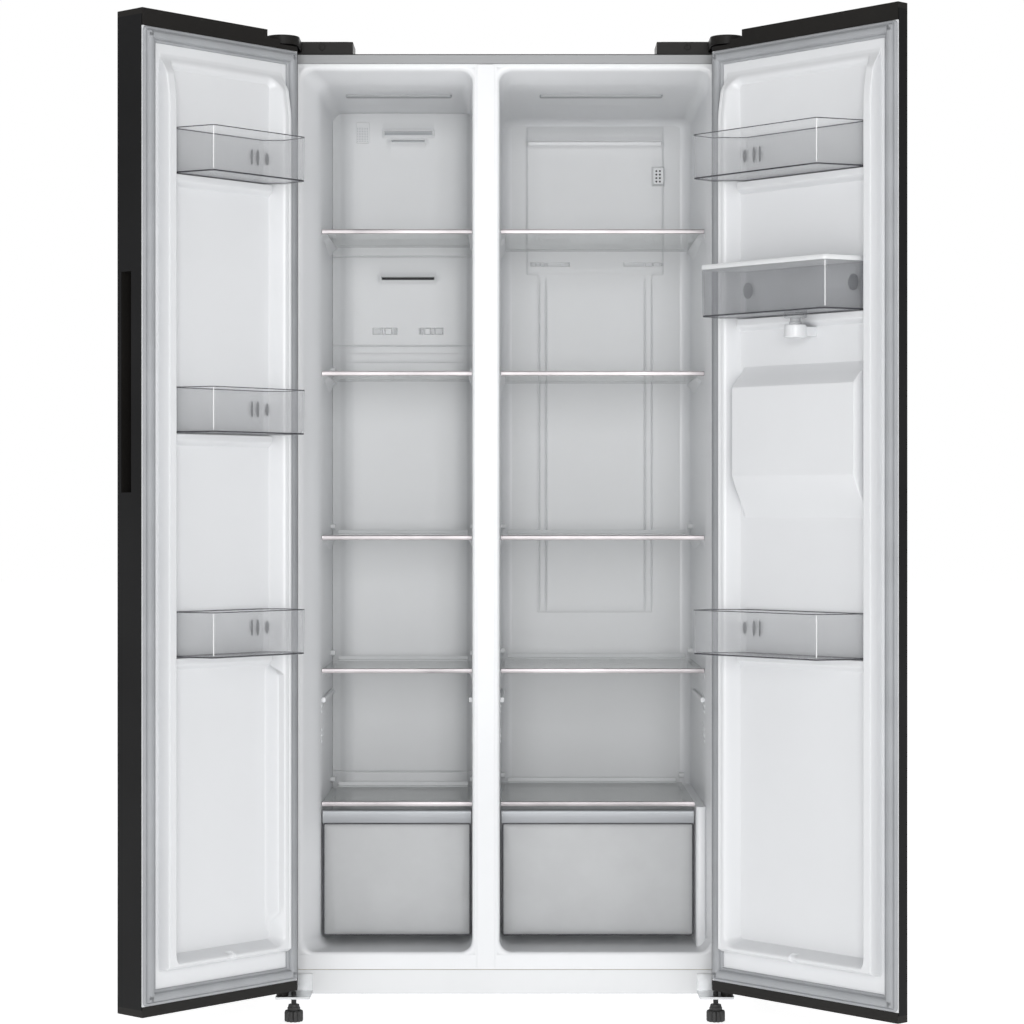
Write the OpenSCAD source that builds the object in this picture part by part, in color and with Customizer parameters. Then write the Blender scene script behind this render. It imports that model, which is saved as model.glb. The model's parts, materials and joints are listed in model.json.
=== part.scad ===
// Side by side refrigerator with both doors open: freezer on the left, fridge on the right.
// Millimetres, +Z up, the front faces -Y. The origin is on the floor under the middle of the cabinet.
// Inside cabinet() y counts back from the cabinet's front. Inside a door, x runs from the hinge axis
// to the free edge, y from the axis into the cabinet, and the door is drawn shut, then swung open.

/* [Cabinet] */
// Width of the cabinet
cabinet_w = 835; // [690:1:1010]
// Height of the cabinet's shell
cabinet_h = 1712; // [1420:1:2060]
// Depth of the cabinet without its doors
cabinet_d = 565; // [520:1:680]
// Height of the shell's bottom edge over the floor
clearance_h = 39; // [38:1:60]
// Thickness of the steel sheet
sheet_t = 1; // [0.8:0.1:2]
// Thickness of the vacuum-formed liners
liner_t = 2.5; // [2:0.1:4]
// Width of the steel lip folded round the front edge
lip_w = 12; // [8:1:14]

/* [Insulation] */
// Wall at the freezer's outer side
freezer_wall = 76.5; // [60:0.5:92]
// Wall at the fridge's outer side
fridge_wall = 46.5; // [38:0.5:60]
// Wall behind both compartments
rear_wall = 80; // [60:1:100]
// Wall over both compartments
ceiling_t = 49; // [40:1:70]
// Height of the compartments' floor over the shell's bottom edge
floor_t = 76; // [60:1:92]
// Width of the divider between the compartments
divider_w = 50.6; // [40:0.1:62]
// Middle of the divider, measured from the cabinet's middle
split_x = -34.5; // [-60:0.5:0]

/* [Compartments] */
// Depth of the flared mouth
flare_d = 60; // [40:1:65]
// Widening of the freezer's mouth at its outer side
freezer_flare = 29; // [10:1:35]
// Widening of the fridge's mouth at its outer side
fridge_flare = 5; // [2:1:12]
// Rise of the ceiling at the mouth
ceiling_flare = 21; // [8:1:26]
// Depth of the evaporator's space behind the freezer's rear cover
evaporator_space = 90; // [75:1:110]
// Depth of the machine compartment at the bottom of the back
machine_d = 235; // [230:1:250]
// Height of the machine compartment
machine_h = 231; // [225:1:260]
// Insulation between the machine compartment and the liners
machine_wall = 30; // [20:1:40]

/* [Shelves and drawers] */
// How far the shelves stand behind the cabinet's front
shelf_front = 88; // [70:1:110]
// Thickness of the shelf glass
glass_t = 4; // [3:0.5:6]
// Gap between a shelf or drawer and the wall beside it
side_gap = 1.5; // [1:0.1:3]
// Gap between the ceiling and the top shelf
top_space = 262; // [200:1:320]
// Height of the drawers
drawer_h = 233; // [190:1:250]
// Gap behind the drawers
drawer_gap = 5; // [3:0.5:10]
// Thickness of the drawer's walls
drawer_t = 3; // [2:0.5:4]
// Width of the ledges that carry the shelves
ledge_w = 9; // [6:0.5:12]

/* [Doors] */
// Thickness of a door without its gasket
door_t = 67.4; // [60:0.1:75]
// Space between a shut door and the cabinet
door_gap = 11.6; // [10:0.1:14]
// Distance of the hinge axis from the cabinet's side
hinge_inset = 17.5; // [14:0.5:20]
// Distance of the hinge axis from the door's outer face
axis_in = 24; // [20:0.5:28]
// How far the doors stand open
open_angle = 132.2; // [0:0.1:132.2]
// Gap between the two shut doors
door_between = 4; // [3:0.5:8]
// Height of the doors' bottom edge over the shell's bottom edge
door_lift = 22; // [18:1:26]
// How far the doors rise over the cabinet's top
door_rise = 20; // [16:1:24]
// Chamfer along the inner corner at the hinge side
hinge_chamfer = 22.5; // [15:0.5:24]
// Bevel along the fridge door's free edge
grip_bevel = 43; // [30:1:45]
// Height of the ridge round a door's inner recess, from the hinge axis
crest_v = 70; // [60:1:74]
// Depth of the recess's floor, from the hinge axis
recess_v = 38; // [36:0.5:41]
// Thickness of the gasket
gasket_t = 9.8; // [8:0.1:9.8]
// Width of the gasket
gasket_w = 26; // [20:1:30]

/* [Door bins and tank] */
// Front of the freezer's door bins, from the hinge axis
freezer_bin_v = 130; // [105:1:140]
// Front of the fridge's door bins, from the hinge axis
fridge_bin_v = 140; // [110:1:140]
// Front of the water tank, from the hinge axis
tank_v = 130; // [105:1:140]
// Height of a door bin
bin_h = 79; // [60:1:95]
// Thickness of the bins' and the tank's walls
bin_t = 2.5; // [2:0.1:3.5]
// Height of the water tank without its lid
tank_h = 83; // [66:1:100]
// Thickness of the tank's lid
lid_t = 9; // [7:0.5:11]

/* [Dispenser] */
// Width of the dispenser's niche
niche_w = 180; // [150:1:200]
// Height of the niche
niche_h = 185; // [155:1:225]
// Depth of the niche
niche_d = 76; // [64:1:90]
// Thickness of the niche's walls
niche_t = 2.5; // [2:0.1:3.5]

/* [Hinges and feet] */
// Radius of the hinge pins
pin_r = 6; // [5:0.5:8]
// Play between a pin and its hole, on the radius
play = 0.06; // [0.03:0.01:0.1]
// Thickness of the hinge brackets
bracket_t = 3; // [2.5:0.5:4]
// Radius of a foot's knob
foot_r = 17; // [14:0.5:20]
// Radius of a foot's screw
screw_r = 5; // [4:0.5:6]
// Distance between a hinge pin and the foot's screw
foot_offset = 20; // [18:0.5:24]
// Radius of the rear rollers
roller_r = 18; // [14:0.5:18.5]

/* [Hidden] */
$fn = 48;
clear = 0.3;
top_z = clearance_h + cabinet_h;
side_x = cabinet_w / 2;
front_y = -cabinet_d / 2;
floor_z = clearance_h + floor_t;
ceiling_z = top_z - ceiling_t;
depth = cabinet_d - rear_wall;
seam_z = clearance_h + 45;
rail_h = 17;
freezer_x = [-side_x + freezer_wall, split_x - divider_w / 2];
fridge_x = [split_x + divider_w / 2, side_x - fridge_wall];
cover_y = depth - evaporator_space;
machine_y = cabinet_d - machine_d;
machine_z = clearance_h + machine_h;
step_y = machine_y - machine_wall;
step_z = machine_z + machine_wall;
frame_t = 2;

inner_v = door_t - axis_in;
hinge_x = side_x - hinge_inset;
hinge_y = front_y - door_gap - inner_v;
door_z = [clearance_h + door_lift, top_z + door_rise];
skin_z = [door_z[0] + 12, door_z[1] - 10];
panel_z = [door_z[0] + 18, door_z[1] - 30];
dyke_z = [panel_z[0] + 56, panel_z[1] - 41];
door_h = door_z[1] - door_z[0];
left_w = hinge_x + split_x - door_between / 2;
right_w = hinge_x - split_x - door_between / 2;
edge_break = 2;
pocket_t = 2;
grip_z = [door_z[0] + door_h * 0.52, door_z[0] + door_h * 0.74];
notch_u = 47;
step_u = 77;
crest_u = 56;
recess_u = 80;
left_bin_u = freezer_wall - hinge_inset + 4;
right_bin_u = fridge_wall - hinge_inset + 17;
bin_low_v = recess_v + 6;
bin_high_v = crest_v + 4;
bush_r = 12;
bush_h = 25;
plate_z = [clearance_h + 3, clearance_h + 7];

drawer_z = floor_z + 17;
shelf_low = drawer_z + drawer_h + 13;
shelf_high = ceiling_z - top_space;
shelf_share = [1, 0.752, 0.465, 0.2325, 0];
shelf_z = [for (share = shelf_share) shelf_low + share * (shelf_high - shelf_low)];
freezer_back = cover_y - 10;
fridge_back = depth - 17;
fridge_low_x = fridge_x[1] - 18;
ledge_h = 8;

left_bin_z = [for (share = [0.8386, 0.5795, 0.355]) door_z[0] + share * door_h];
right_bin_z = [for (share = [0.8415, 0.3544]) door_z[0] + share * door_h];
tank_z = door_z[0] + 0.7 * door_h;
niche_z = door_z[0] + 0.52 * door_h;
niche_u = [120, 120 + niche_w];
valve_u = 238;
valve_v = 82;
paddle_z = niche_z + niche_h - 52;
paddle_v = niche_d - axis_in - 26;

fan_x = (freezer_x[0] + freezer_x[1]) / 2;
fan_z = shelf_z[1] + 157;
condenser_x = side_x - 290;
shaft_r = 2.5;
roller_x = side_x - 88;
roller_y = cabinet_d - 70;
axle_r = 4;

// ---------- helpers ----------

module block(x, y, z) {
  translate([x[0], y[0], z[0]]) cube([x[1] - x[0], y[1] - y[0], z[1] - z[0]]);
}

module cabinet() {
  translate([0, front_y, 0]) children();
}

module left_door() {
  translate([-hinge_x, hinge_y, 0]) rotate([0, 0, -open_angle]) children();
}

module right_door() {
  translate([hinge_x, hinge_y, 0]) rotate([0, 0, open_angle]) mirror([1, 0, 0]) children();
}

// The same piece at the left and at the right.
module both_sides() {
  children();
  mirror([1, 0, 0]) children();
}

function unit(p) = p / norm(p);

// A polygon's corners, listed anticlockwise, moved so that every side moves in by t.
function inset(p, t) = [
  for (i = [0 : len(p) - 1])
    let (
      n = len(p),
      before = unit(p[i] - p[(i + n - 1) % n]),
      after = unit(p[(i + 1) % n] - p[i]),
      a = [-before[1], before[0]],
      b = [-after[1], after[0]]
    )
    p[i] + t * (a + b) / (1 + a * b)
];

// An upright prism over a polygon.
module prism(points, z) {
  translate([0, 0, z[0]]) linear_extrude(z[1] - z[0]) polygon(points);
}

// A prism along x over a polygon in y and z.
module bar(points, x) {
  translate([x[0], 0, 0]) rotate([90, 0, 90]) linear_extrude(x[1] - x[0]) polygon(points);
}

// An open box: walls and floor of thickness t.
module tray(points, z, t) {
  difference() {
    prism(points, z);
    prism(inset(points, t), [z[0] + t, z[1] + 1]);
  }
}

// A rod along y.
module rod_y(r, x, y, z) {
  translate([x, y[0], z]) rotate([-90, 0, 0]) cylinder(r = r, h = y[1] - y[0]);
}

// A rod along x.
module rod_x(r, x, y, z) {
  translate([x[0], y, z]) rotate([0, 90, 0]) cylinder(r = r, h = x[1] - x[0]);
}

// ---------- cabinet ----------

// The space of a compartment, grown by g: straight walls, a flared mouth and a step over the machines.
module cavity(x, low_flare, high_flare, g = 0) {
  plan = [
    [x[0] - low_flare - g, 0], [x[1] + high_flare + g, 0], [x[1] + g, flare_d],
    [x[1] + g, depth + g], [x[0] - g, depth + g], [x[0] - g, flare_d]
  ];
  side = [
    [0, floor_z - g], [step_y + g, floor_z - g], [step_y + g, step_z - g],
    [depth + g, step_z - g], [depth + g, ceiling_z + g], [flare_d, ceiling_z + g],
    [0, ceiling_z + ceiling_flare + g]
  ];
  intersection() {
    prism(plan, [floor_z - g, ceiling_z + ceiling_flare + g]);
    bar(side, [x[0] - low_flare - g, x[1] + high_flare + g]);
  }
}

module freezer_cavity(g = 0) {
  cavity(freezer_x, freezer_flare, 0.5, g);
}

module fridge_cavity(g = 0) {
  cavity(fridge_x, 0.5, fridge_flare, g);
}

// Ledges under a shelf's two sides and hooks over its rear corners.
module shelf_supports(x, z, back) {
  ledge_y = [shelf_front + 16, back];
  hook_y = [back - 34, back - 16];
  ledge_z = [z - glass_t - clear - ledge_h, z - glass_t - clear];
  for (wall = [[x[0] - 1, x[0] + ledge_w], [x[1] - ledge_w, x[1] + 1]]) {
    block(wall, ledge_y, ledge_z);
    block(wall, hook_y, [z + 12, z + 22]);
  }
}

// Two runners on the floor that a drawer slides on.
module drawer_runners(x) {
  for (low = [x[0] + 18, x[1] - 30])
    block([low, low + 12], [shelf_front + 6, step_y - 6], [floor_z - 1, drawer_z - clear]);
}

module outer_shell() {
  color("#1b1b1b") cabinet() {
    difference() {
      block([-side_x, side_x], [0, cabinet_d], [clearance_h, top_z]);
      block([-side_x + sheet_t, side_x - sheet_t], [sheet_t, cabinet_d + 1],
            [clearance_h - 1, top_z - sheet_t]);
      block([-side_x + lip_w, side_x - lip_w], [-1, 2], [clearance_h - 1, top_z - sheet_t]);
    }
  }
}

module rear_panel() {
  color("#3a3a3c") cabinet()
    block([-side_x + sheet_t, side_x - sheet_t], [cabinet_d - sheet_t, cabinet_d],
          [machine_z, top_z - sheet_t]);
}

module base_pan() {
  inside = [-side_x + sheet_t, side_x - sheet_t];
  color("#8d9094") cabinet() {
    block(inside, [liner_t, cabinet_d - sheet_t], [clearance_h, clearance_h + frame_t]);
    block(inside, [machine_y - frame_t, machine_y], [clearance_h, machine_z + frame_t]);
    block(inside, [machine_y - frame_t, cabinet_d - sheet_t], [machine_z, machine_z + frame_t]);
    for (side = [-1, 1]) translate([side * roller_x, roller_y, 0]) {
      for (cheek = [-14, 12]) block([cheek, cheek + 2], [-14, 14], [8, clearance_h + 1]);
      rod_x(axle_r, [-13, 13], 0, roller_r);
    }
  }
}

module cabinet_foam() {
  color("#e8dca8") cabinet() difference() {
    block([-side_x + sheet_t, side_x - sheet_t], [liner_t, cabinet_d - sheet_t],
          [clearance_h + frame_t, top_z - sheet_t]);
    freezer_cavity(liner_t);
    fridge_cavity(liner_t);
    block([-side_x, side_x], [machine_y - frame_t, cabinet_d], [0, machine_z + frame_t]);
  }
}

module freezer_liner() {
  color("#e9eaeb") cabinet() {
    difference() {
      union() {
        freezer_cavity(liner_t);
        block([-side_x + lip_w, split_x - 0.2], [0, liner_t], [seam_z, top_z - sheet_t - rail_h]);
      }
      translate([0, -1, 0]) freezer_cavity();
      freezer_cavity();
    }
    for (z = shelf_z) shelf_supports(freezer_x, z, freezer_back);
    drawer_runners(freezer_x);
  }
}

module fridge_liner() {
  wide = [fridge_x[0], fridge_x[1]];
  narrow = [fridge_x[0], fridge_low_x];
  color("#e9eaeb") cabinet() {
    difference() {
      union() {
        fridge_cavity(liner_t);
        block([split_x + 0.2, side_x - lip_w], [0, liner_t], [seam_z, top_z - sheet_t - rail_h]);
      }
      translate([0, -1, 0]) fridge_cavity();
      fridge_cavity();
    }
    for (i = [0 : 3]) shelf_supports(wide, shelf_z[i], fridge_back);
    shelf_supports(narrow, shelf_z[4], fridge_back);
    drawer_runners(narrow);
    block([fridge_low_x, fridge_x[1] + 1], [flare_d, step_y + 1], [floor_z - 1, step_z + 1]);
    block([fridge_low_x, fridge_x[1] + 1], [flare_d, depth + 1],
          [step_z, shelf_z[4] - glass_t - clear]);
  }
}

module front_rails() {
  color("#a9abad") cabinet() {
    block([-side_x + lip_w, side_x - lip_w], [0, liner_t],
          [top_z - sheet_t - rail_h, top_z - sheet_t]);
    block([split_x - 16.5, split_x + 16.5], [-1.5, 0], [seam_z, top_z - sheet_t - rail_h]);
  }
}

module plinth() {
  color("#dfe0e1") cabinet()
    block([-side_x + lip_w, side_x - lip_w], [0, liner_t], [clearance_h, seam_z - 0.4]);
}

// Three panels in front of the evaporator, with the air slots.
module freezer_rear_cover() {
  x = [freezer_x[0] + 0.5, freezer_x[1] - 0.5];
  y = [cover_y, cover_y + 3];
  through = [cover_y - 1, cover_y + 4];
  middle = (x[0] + x[1]) / 2;
  upper_z = shelf_z[0] - 20;
  lower_z = shelf_z[1] + 67;
  color("#dcdddd") cabinet() difference() {
    union() {
      block(x, y, [upper_z, ceiling_z - 0.5]);
      block(x, y, [lower_z, upper_z - 2]);
      block(x, y, [step_z + 0.5, lower_z - 2]);
    }
    block([middle - 38, middle + 57], through, [ceiling_z - 44, ceiling_z - 36]);
    block([middle - 24, middle + 42], through, [ceiling_z - 58, ceiling_z - 53]);
    block([middle - 44, middle + 61], through, [upper_z - 47, upper_z - 40]);
    for (left = [-61, 30])
      block([middle + left, middle + left + 49], through, [lower_z + 22, lower_z + 36]);
  }
}

module fridge_duct_cover() {
  middle = (fridge_x[0] + fridge_x[1]) / 2;
  neck_z = shelf_z[0] - 50;
  color("#dcdddd") cabinet() difference() {
    union() {
      block([middle - 141, middle + 137], [depth - 12, depth], [neck_z, ceiling_z - 14]);
      block([middle - 119, middle + 115], [depth - 12, depth], [shelf_z[3] + 90, neck_z]);
      block([middle + 112, middle + 137], [depth - 18, depth - 11],
            [ceiling_z - 133, ceiling_z - 96]);
    }
    block([middle - 136, middle + 132], [depth - 13, depth - 8], [ceiling_z - 52, ceiling_z - 44]);
    for (left = [-132, 54])
      block([middle + left, middle + left + 80], [depth - 13, depth - 4],
            [shelf_z[0] - 32, shelf_z[0] - 24]);
  }
}

module light_covers() {
  color("#f4f6f8") cabinet() {
    for (light = [[fan_x, 99.5], [(fridge_x[0] + fridge_x[1]) / 2, 115.5]])
      block([light[0] - light[1], light[0] + light[1]], [160, 182], [ceiling_z - 4, ceiling_z]);
  }
}

// Finned coil: thin plates on rows of tubes.
module finned_coil(size, fins, rows, tube_r) {
  for (i = [0 : fins - 1])
    translate([i * (size[0] - 1) / (fins - 1), 0, 0]) cube([1, size[1], size[2]]);
  for (row = [0 : rows - 1]) for (y = [0.27, 0.73])
    rod_x(tube_r, [-8, size[0] + 8], y * size[1], (row + 0.5) * size[2] / rows);
}

module evaporator() {
  width = freezer_x[1] - freezer_x[0] - 40;
  color("#b9bcc0") cabinet()
    translate([freezer_x[0] + 20, cover_y + 14, step_z + 330])
      finned_coil([width, 62, 400], 16, 5, 4);
}

// A hub with pitched blades, turning about z, with a hole for the motor's shaft.
module fan(r, hub_r, h) {
  difference() {
    union() {
      cylinder(r = hub_r, h = h);
      for (i = [0 : 4]) rotate([0, 0, 72 * i])
        translate([hub_r - 2, 0, h / 2]) rotate([28, 0, 0])
          translate([0, -14, -1]) cube([r - hub_r, 28, 2]);
    }
    translate([0, 0, -1]) cylinder(r = shaft_r + play, h = h + 2);
  }
}

module evaporator_fan() {
  color("#c9cbcd") cabinet()
    translate([fan_x, cover_y + 16, fan_z]) rotate([-90, 0, 0]) fan(52, 17, 18);
}

module condenser_fan() {
  color("#3c3e41") cabinet()
    translate([condenser_x - 58, machine_y + 112, clearance_h + 112]) rotate([0, 90, 0])
      fan(62, 19, 20);
}

module fan_motors() {
  color("#4a4c50") cabinet() {
    rod_y(shaft_r, fan_x, [cover_y + 18, cover_y + 40], fan_z);
    rod_y(24, fan_x, [cover_y + 38, cover_y + 66], fan_z);
    block([fan_x - 60, fan_x + 60], [cover_y + 66, cover_y + 70], [fan_z - 12, fan_z + 12]);
    translate([condenser_x - 58, machine_y + 112, clearance_h + 112]) {
      rod_x(shaft_r, [-6, 18], 0, 0);
      rod_x(26, [-34, -4], 0, 0);
      block([-38, -34], [-60, 60], [-10, 10]);
      block([-38, -34], [-10, 10], [-110, 0]);
    }
  }
}

// Welded can with two dished ends, on a base plate with four rubber mounts.
module compressor() {
  can = [
    [0, 0], [30, 0], [54, 8], [66, 22], [72, 44], [72, 104],
    [66, 126], [54, 140], [30, 148], [0, 148]
  ];
  foot_z = clearance_h + frame_t;
  color("#2a2b2d") cabinet() translate([-110, machine_y + 112, foot_z]) {
    translate([0, 0, 20]) rotate_extrude() polygon(can);
    block([-88, 88], [-56, 56], [17, 21]);
    for (x = [-76, 76]) for (y = [-44, 44]) translate([x, y, 0]) cylinder(r = 9, h = 17.5);
    translate([40, 0, 150]) cylinder(r = 4, h = 26);
    translate([60, 0, 90]) rotate([0, 70, 0]) cylinder(r = 4, h = 34);
  }
}

module condenser() {
  color("#232426") cabinet()
    translate([condenser_x, machine_y + 22, clearance_h + frame_t + 6])
      finned_coil([160, 180, 190], 18, 5, 3);
}

// Tray over the compressor that catches the defrost water.
module drain_pan() {
  x = [-215, -5];
  y = [machine_y + 20, machine_y + 204];
  corners = [[x[0], y[0]], [x[1], y[0]], [x[1], y[1]], [x[0], y[1]]];
  color("#d8d8d4") cabinet() tray(corners, [machine_z - 34, machine_z - 6], 2);
}

module machine_cover() {
  color("#37383a") cabinet() difference() {
    block([-side_x + sheet_t, side_x - sheet_t], [cabinet_d - sheet_t, cabinet_d],
          [clearance_h, machine_z]);
    for (column = [-1, 1]) for (row = [0 : 6])
      block([column * 165 - 75, column * 165 + 75], [cabinet_d - 3, cabinet_d + 1],
            [clearance_h + 50 + row * 24, clearance_h + 58 + row * 24]);
    rod_y(9, 0, [cabinet_d - 3, cabinet_d + 1], clearance_h + 60);
  }
}

module control_box() {
  left = -side_x + 18;
  color("#e4e4de") cabinet()
    block([left, left + 84], [machine_y + 60, machine_y + 200],
          [clearance_h + frame_t, clearance_h + 160]);
}

// Gland in the machine cover, where the mains lead would enter.
module power_inlet() {
  color("#202020") cabinet() difference() {
    union() {
      rod_y(9, 0, [cabinet_d - 14, cabinet_d + 6], clearance_h + 60);
      rod_y(14, 0, [cabinet_d, cabinet_d + 3], clearance_h + 60);
      rod_y(12, 0, [cabinet_d - 8, cabinet_d - sheet_t], clearance_h + 60);
    }
    rod_y(4.2, 0, [cabinet_d - 20, cabinet_d + 10], clearance_h + 60);
  }
}

// ---------- hinges and feet ----------

// Upper bracket: a plate on the cabinet's top with a tongue to the pin.
module upper_bracket() {
  z = [top_z, top_z + bracket_t];
  translate([hinge_x, hinge_y, 0]) {
    block([-15, 15], [0, door_gap + inner_v + 10], z);
    translate([0, 0, z[0]]) cylinder(r = 15, h = bracket_t);
    block([-90, 12], [door_gap + inner_v + 9, door_gap + inner_v + 66], z);
    for (screw = [[-76, 80], [-40, 108], [-4, 80]])
      translate([screw[0], screw[1], z[0] + 1]) cylinder(r = 6, h = 6);
    translate([0, 0, top_z - 28]) cylinder(r = pin_r, h = 29);
  }
}

// Lower bracket: an angle on the cabinet's front with the pin and the foot's screw hole.
module lower_bracket() {
  wall_y = door_gap + inner_v;
  translate([hinge_x, hinge_y, 0]) difference() {
    union() {
      block([-50, 12], [-18, wall_y - 0.5], plate_z);
      block([-50, 12], [wall_y - bracket_t, wall_y], [plate_z[0], plate_z[0] + 34]);
      translate([0, 0, plate_z[0] + 1]) cylinder(r = pin_r, h = door_lift + 30);
    }
    translate([-foot_offset, 0, plate_z[0] - 1]) cylinder(r = screw_r + play, h = 8);
  }
}

module hinge_brackets() {
  color("#b4b6b8") both_sides() {
    upper_bracket();
    lower_bracket();
  }
}

// The outline of a hinge cover, shrunk by t: a round head over the pin and a flat box behind it.
module cover_form(t) {
  wall_y = door_gap + inner_v;
  head_z = [top_z + bracket_t + 2, door_z[1] + 1 - t];
  low = t > 0 ? head_z[0] - 2 : head_z[0];
  translate([hinge_x, hinge_y, 0]) {
    translate([0, 0, low]) cylinder(r = 30 - t, h = head_z[1] - low);
    block([-30 + t, 17 - t], [0, wall_y + 6], [low, head_z[1]]);
    block([-123 + t, 17 - t], [wall_y + 4 + t, wall_y + 84 - t],
          [t > 0 ? top_z - 1 : top_z, top_z + 23 - t]);
  }
}

module hinge_covers() {
  color("#161616") both_sides() difference() {
    cover_form(0);
    cover_form(2);
    translate([hinge_x, hinge_y, 0])
      block([-15 - clear, 15 + clear], [0, door_gap + inner_v + 10],
            [top_z - 1, top_z + bracket_t + clear]);
  }
}

// Screw foot: a notched knob, a collar and the screw through the lower bracket.
module foot() {
  color("#1c1c1c") translate([hinge_x - foot_offset, hinge_y, 0]) {
    difference() {
      cylinder(r = foot_r, h = 20);
      for (i = [0 : 11]) rotate([0, 0, 30 * i])
        translate([foot_r, 0, -1]) cylinder(r = 2.4, h = 22, $fn = 24);
    }
    cylinder(r = 11, h = 31);
    cylinder(r = screw_r, h = plate_z[1] + 8);
  }
}

module left_foot() {
  mirror([1, 0, 0]) foot();
}

module right_foot() {
  foot();
}

module rear_rollers() {
  color("#2c2c2c") cabinet() for (side = [-1, 1])
    translate([side * roller_x, roller_y, 0]) difference() {
      rod_x(roller_r, [-9, 9], 0, roller_r);
      rod_x(axle_r + play, [-10, 10], 0, roller_r);
    }
}

// ---------- doors ----------

// Plan of a door moved in by t, and cut off at y = top.
function outline(w, bevel, t, top) =
  let (flat = t * (sqrt(2) - 1))
  [
    [-hinge_inset + t, -axis_in + t], [w - bevel - flat, -axis_in + t],
    [w - t, bevel - axis_in + flat], [w - t, top],
    [top - hinge_inset - inner_v + hinge_chamfer + t * sqrt(2), top],
    [-hinge_inset + t, inner_v - hinge_chamfer - flat]
  ];

// The space over the hinge where the door's top steps down.
module hinge_notch() {
  block([-50, notch_u], [-50, 60], [top_z - 2, door_z[1] + 1]);
  block([-50, step_u], [-50, 60], [top_z + 6, door_z[1] + 1]);
}

// The finger pocket's space in the freezer door's free edge, grown by g.
module grip_space(g) {
  block([left_w - edge_break - 24 - g, left_w + 1], [-12 - g, 14 + g],
        [grip_z[0] - g, grip_z[1] + g]);
}

module door_skin(w, bevel) {
  color("#1b1b1b") difference() {
    prism(outline(w, bevel, 0, inner_v - liner_t), skin_z);
    prism(outline(w, bevel, sheet_t, inner_v), [skin_z[0] - 1, skin_z[1] + 1]);
    hinge_notch();
  }
}

module door_foam(w, bevel) {
  color("#e8dca8") difference() {
    prism(outline(w, bevel, sheet_t, inner_v - liner_t), panel_z);
    block([40, w - 35], [recess_v - liner_t, inner_v], dyke_z);
    for (z = [panel_z[0] - 1, panel_z[1] - bush_h])
      translate([0, 0, z]) cylinder(r = bush_r, h = bush_h + 1);
  }
}

// Section of the liner's vertical ridges and recess, moved in by t.
function liner_section(w, t) = [
  [40 + t, recess_v - 12], [w - 35 - t, recess_v - 12], [w - 35 - t, inner_v],
  [w - 38 - t, crest_v - t], [w - 54 + t, crest_v - t], [w - 62 + t, recess_v - t],
  [recess_u - t, recess_v - t], [crest_u - t, crest_v - t], [43 + t, crest_v - t],
  [40 + t, inner_v]
];

// A hollow ridge across the recess.
module cross_ridge(w, z) {
  difference() {
    block([43, w - 38], [recess_v - liner_t, crest_v], z);
    block([43 + liner_t, w - 38 - liner_t], [recess_v - liner_t - 1, crest_v - liner_t],
          [z[0] + liner_t, z[1] - liner_t]);
  }
}

// Formed inner panel of a door: flange, ridges round the recess, and a ledge under each bin.
module door_liner(w, bins) {
  difference() {
    block([-hinge_inset + hinge_chamfer, w], [inner_v - liner_t, inner_v], panel_z);
    block([40, w - 35], [0, inner_v + 1], dyke_z);
  }
  difference() {
    prism(liner_section(w, 0), dyke_z);
    prism(liner_section(w, liner_t), [dyke_z[0] - 1, dyke_z[1] + 1]);
    block([0, w], [0, recess_v - liner_t], [dyke_z[0] - 1, dyke_z[1] + 1]);
  }
  cross_ridge(w, [dyke_z[0], dyke_z[0] + 26]);
  cross_ridge(w, [dyke_z[1] - 18, dyke_z[1]]);
  for (z = bins)
    block([recess_u - 14, w - 56], [recess_v - 1, recess_v + 14], [z - 14, z - clear]);
}

// Caps over a door's ends with the hinge bushes.
module door_trim(w, bevel) {
  color("#191919") {
    difference() {
      union() {
        prism(outline(w, bevel, 0, inner_v), [door_z[0], skin_z[0]]);
        prism(outline(w, bevel, sheet_t, inner_v), [skin_z[0] - 1, panel_z[0]]);
        translate([0, 0, plate_z[1] + clear])
          cylinder(r = bush_r - 1, h = door_z[0] - plate_z[1]);
        translate([0, 0, door_z[0]]) cylinder(r = bush_r, h = panel_z[0] + bush_h - 1 - door_z[0]);
      }
      translate([0, 0, clearance_h]) cylinder(r = pin_r + play, h = 100);
    }
    difference() {
      union() {
        prism(outline(w, bevel, 0, inner_v), [skin_z[1], door_z[1]]);
        prism(outline(w, bevel, sheet_t, inner_v), [panel_z[1], skin_z[1] + 1]);
        translate([0, 0, panel_z[1] - bush_h]) cylinder(r = bush_r, h = bush_h + 1);
      }
      translate([0, 0, top_z - 60]) cylinder(r = pin_r + play, h = 100);
      hinge_notch();
    }
  }
}

// Magnetic seal: a flat base with a narrower bulb on it.
module door_gasket(w) {
  x = [7, w - 1];
  z = [panel_z[0] + 1, panel_z[1] - 1];
  color("#8f9193") {
    difference() {
      block(x, [inner_v, inner_v + 4], z);
      block([x[0] + gasket_w, x[1] - gasket_w], [inner_v - 1, inner_v + 5],
            [z[0] + gasket_w, z[1] - gasket_w]);
    }
    difference() {
      block([x[0] + 5, x[1] - 5], [inner_v + 3, inner_v + gasket_t], [z[0] + 5, z[1] - 5]);
      block([x[0] + gasket_w - 3, x[1] - gasket_w + 3], [inner_v, inner_v + gasket_t + 1],
            [z[0] + gasket_w - 3, z[1] - gasket_w + 3]);
    }
  }
}

// Plan of a bin: it steps over the hinge side's ridge and slants in at its free end.
function bin_plan(hinge_u, free_u, slant, v) = [
  [recess_u + 8, bin_low_v], [free_u, bin_low_v], [free_u, bin_low_v + 16], [free_u - slant, v],
  [hinge_u, v], [hinge_u, bin_high_v + 10], [crest_u + 8, bin_high_v]
];

module left_bin(i) {
  color("#b9bfc4", 0.4) left_door()
    tray(bin_plan(left_bin_u, left_w - 64, 20, freezer_bin_v),
         [left_bin_z[i], left_bin_z[i] + bin_h], bin_t);
}

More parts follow.
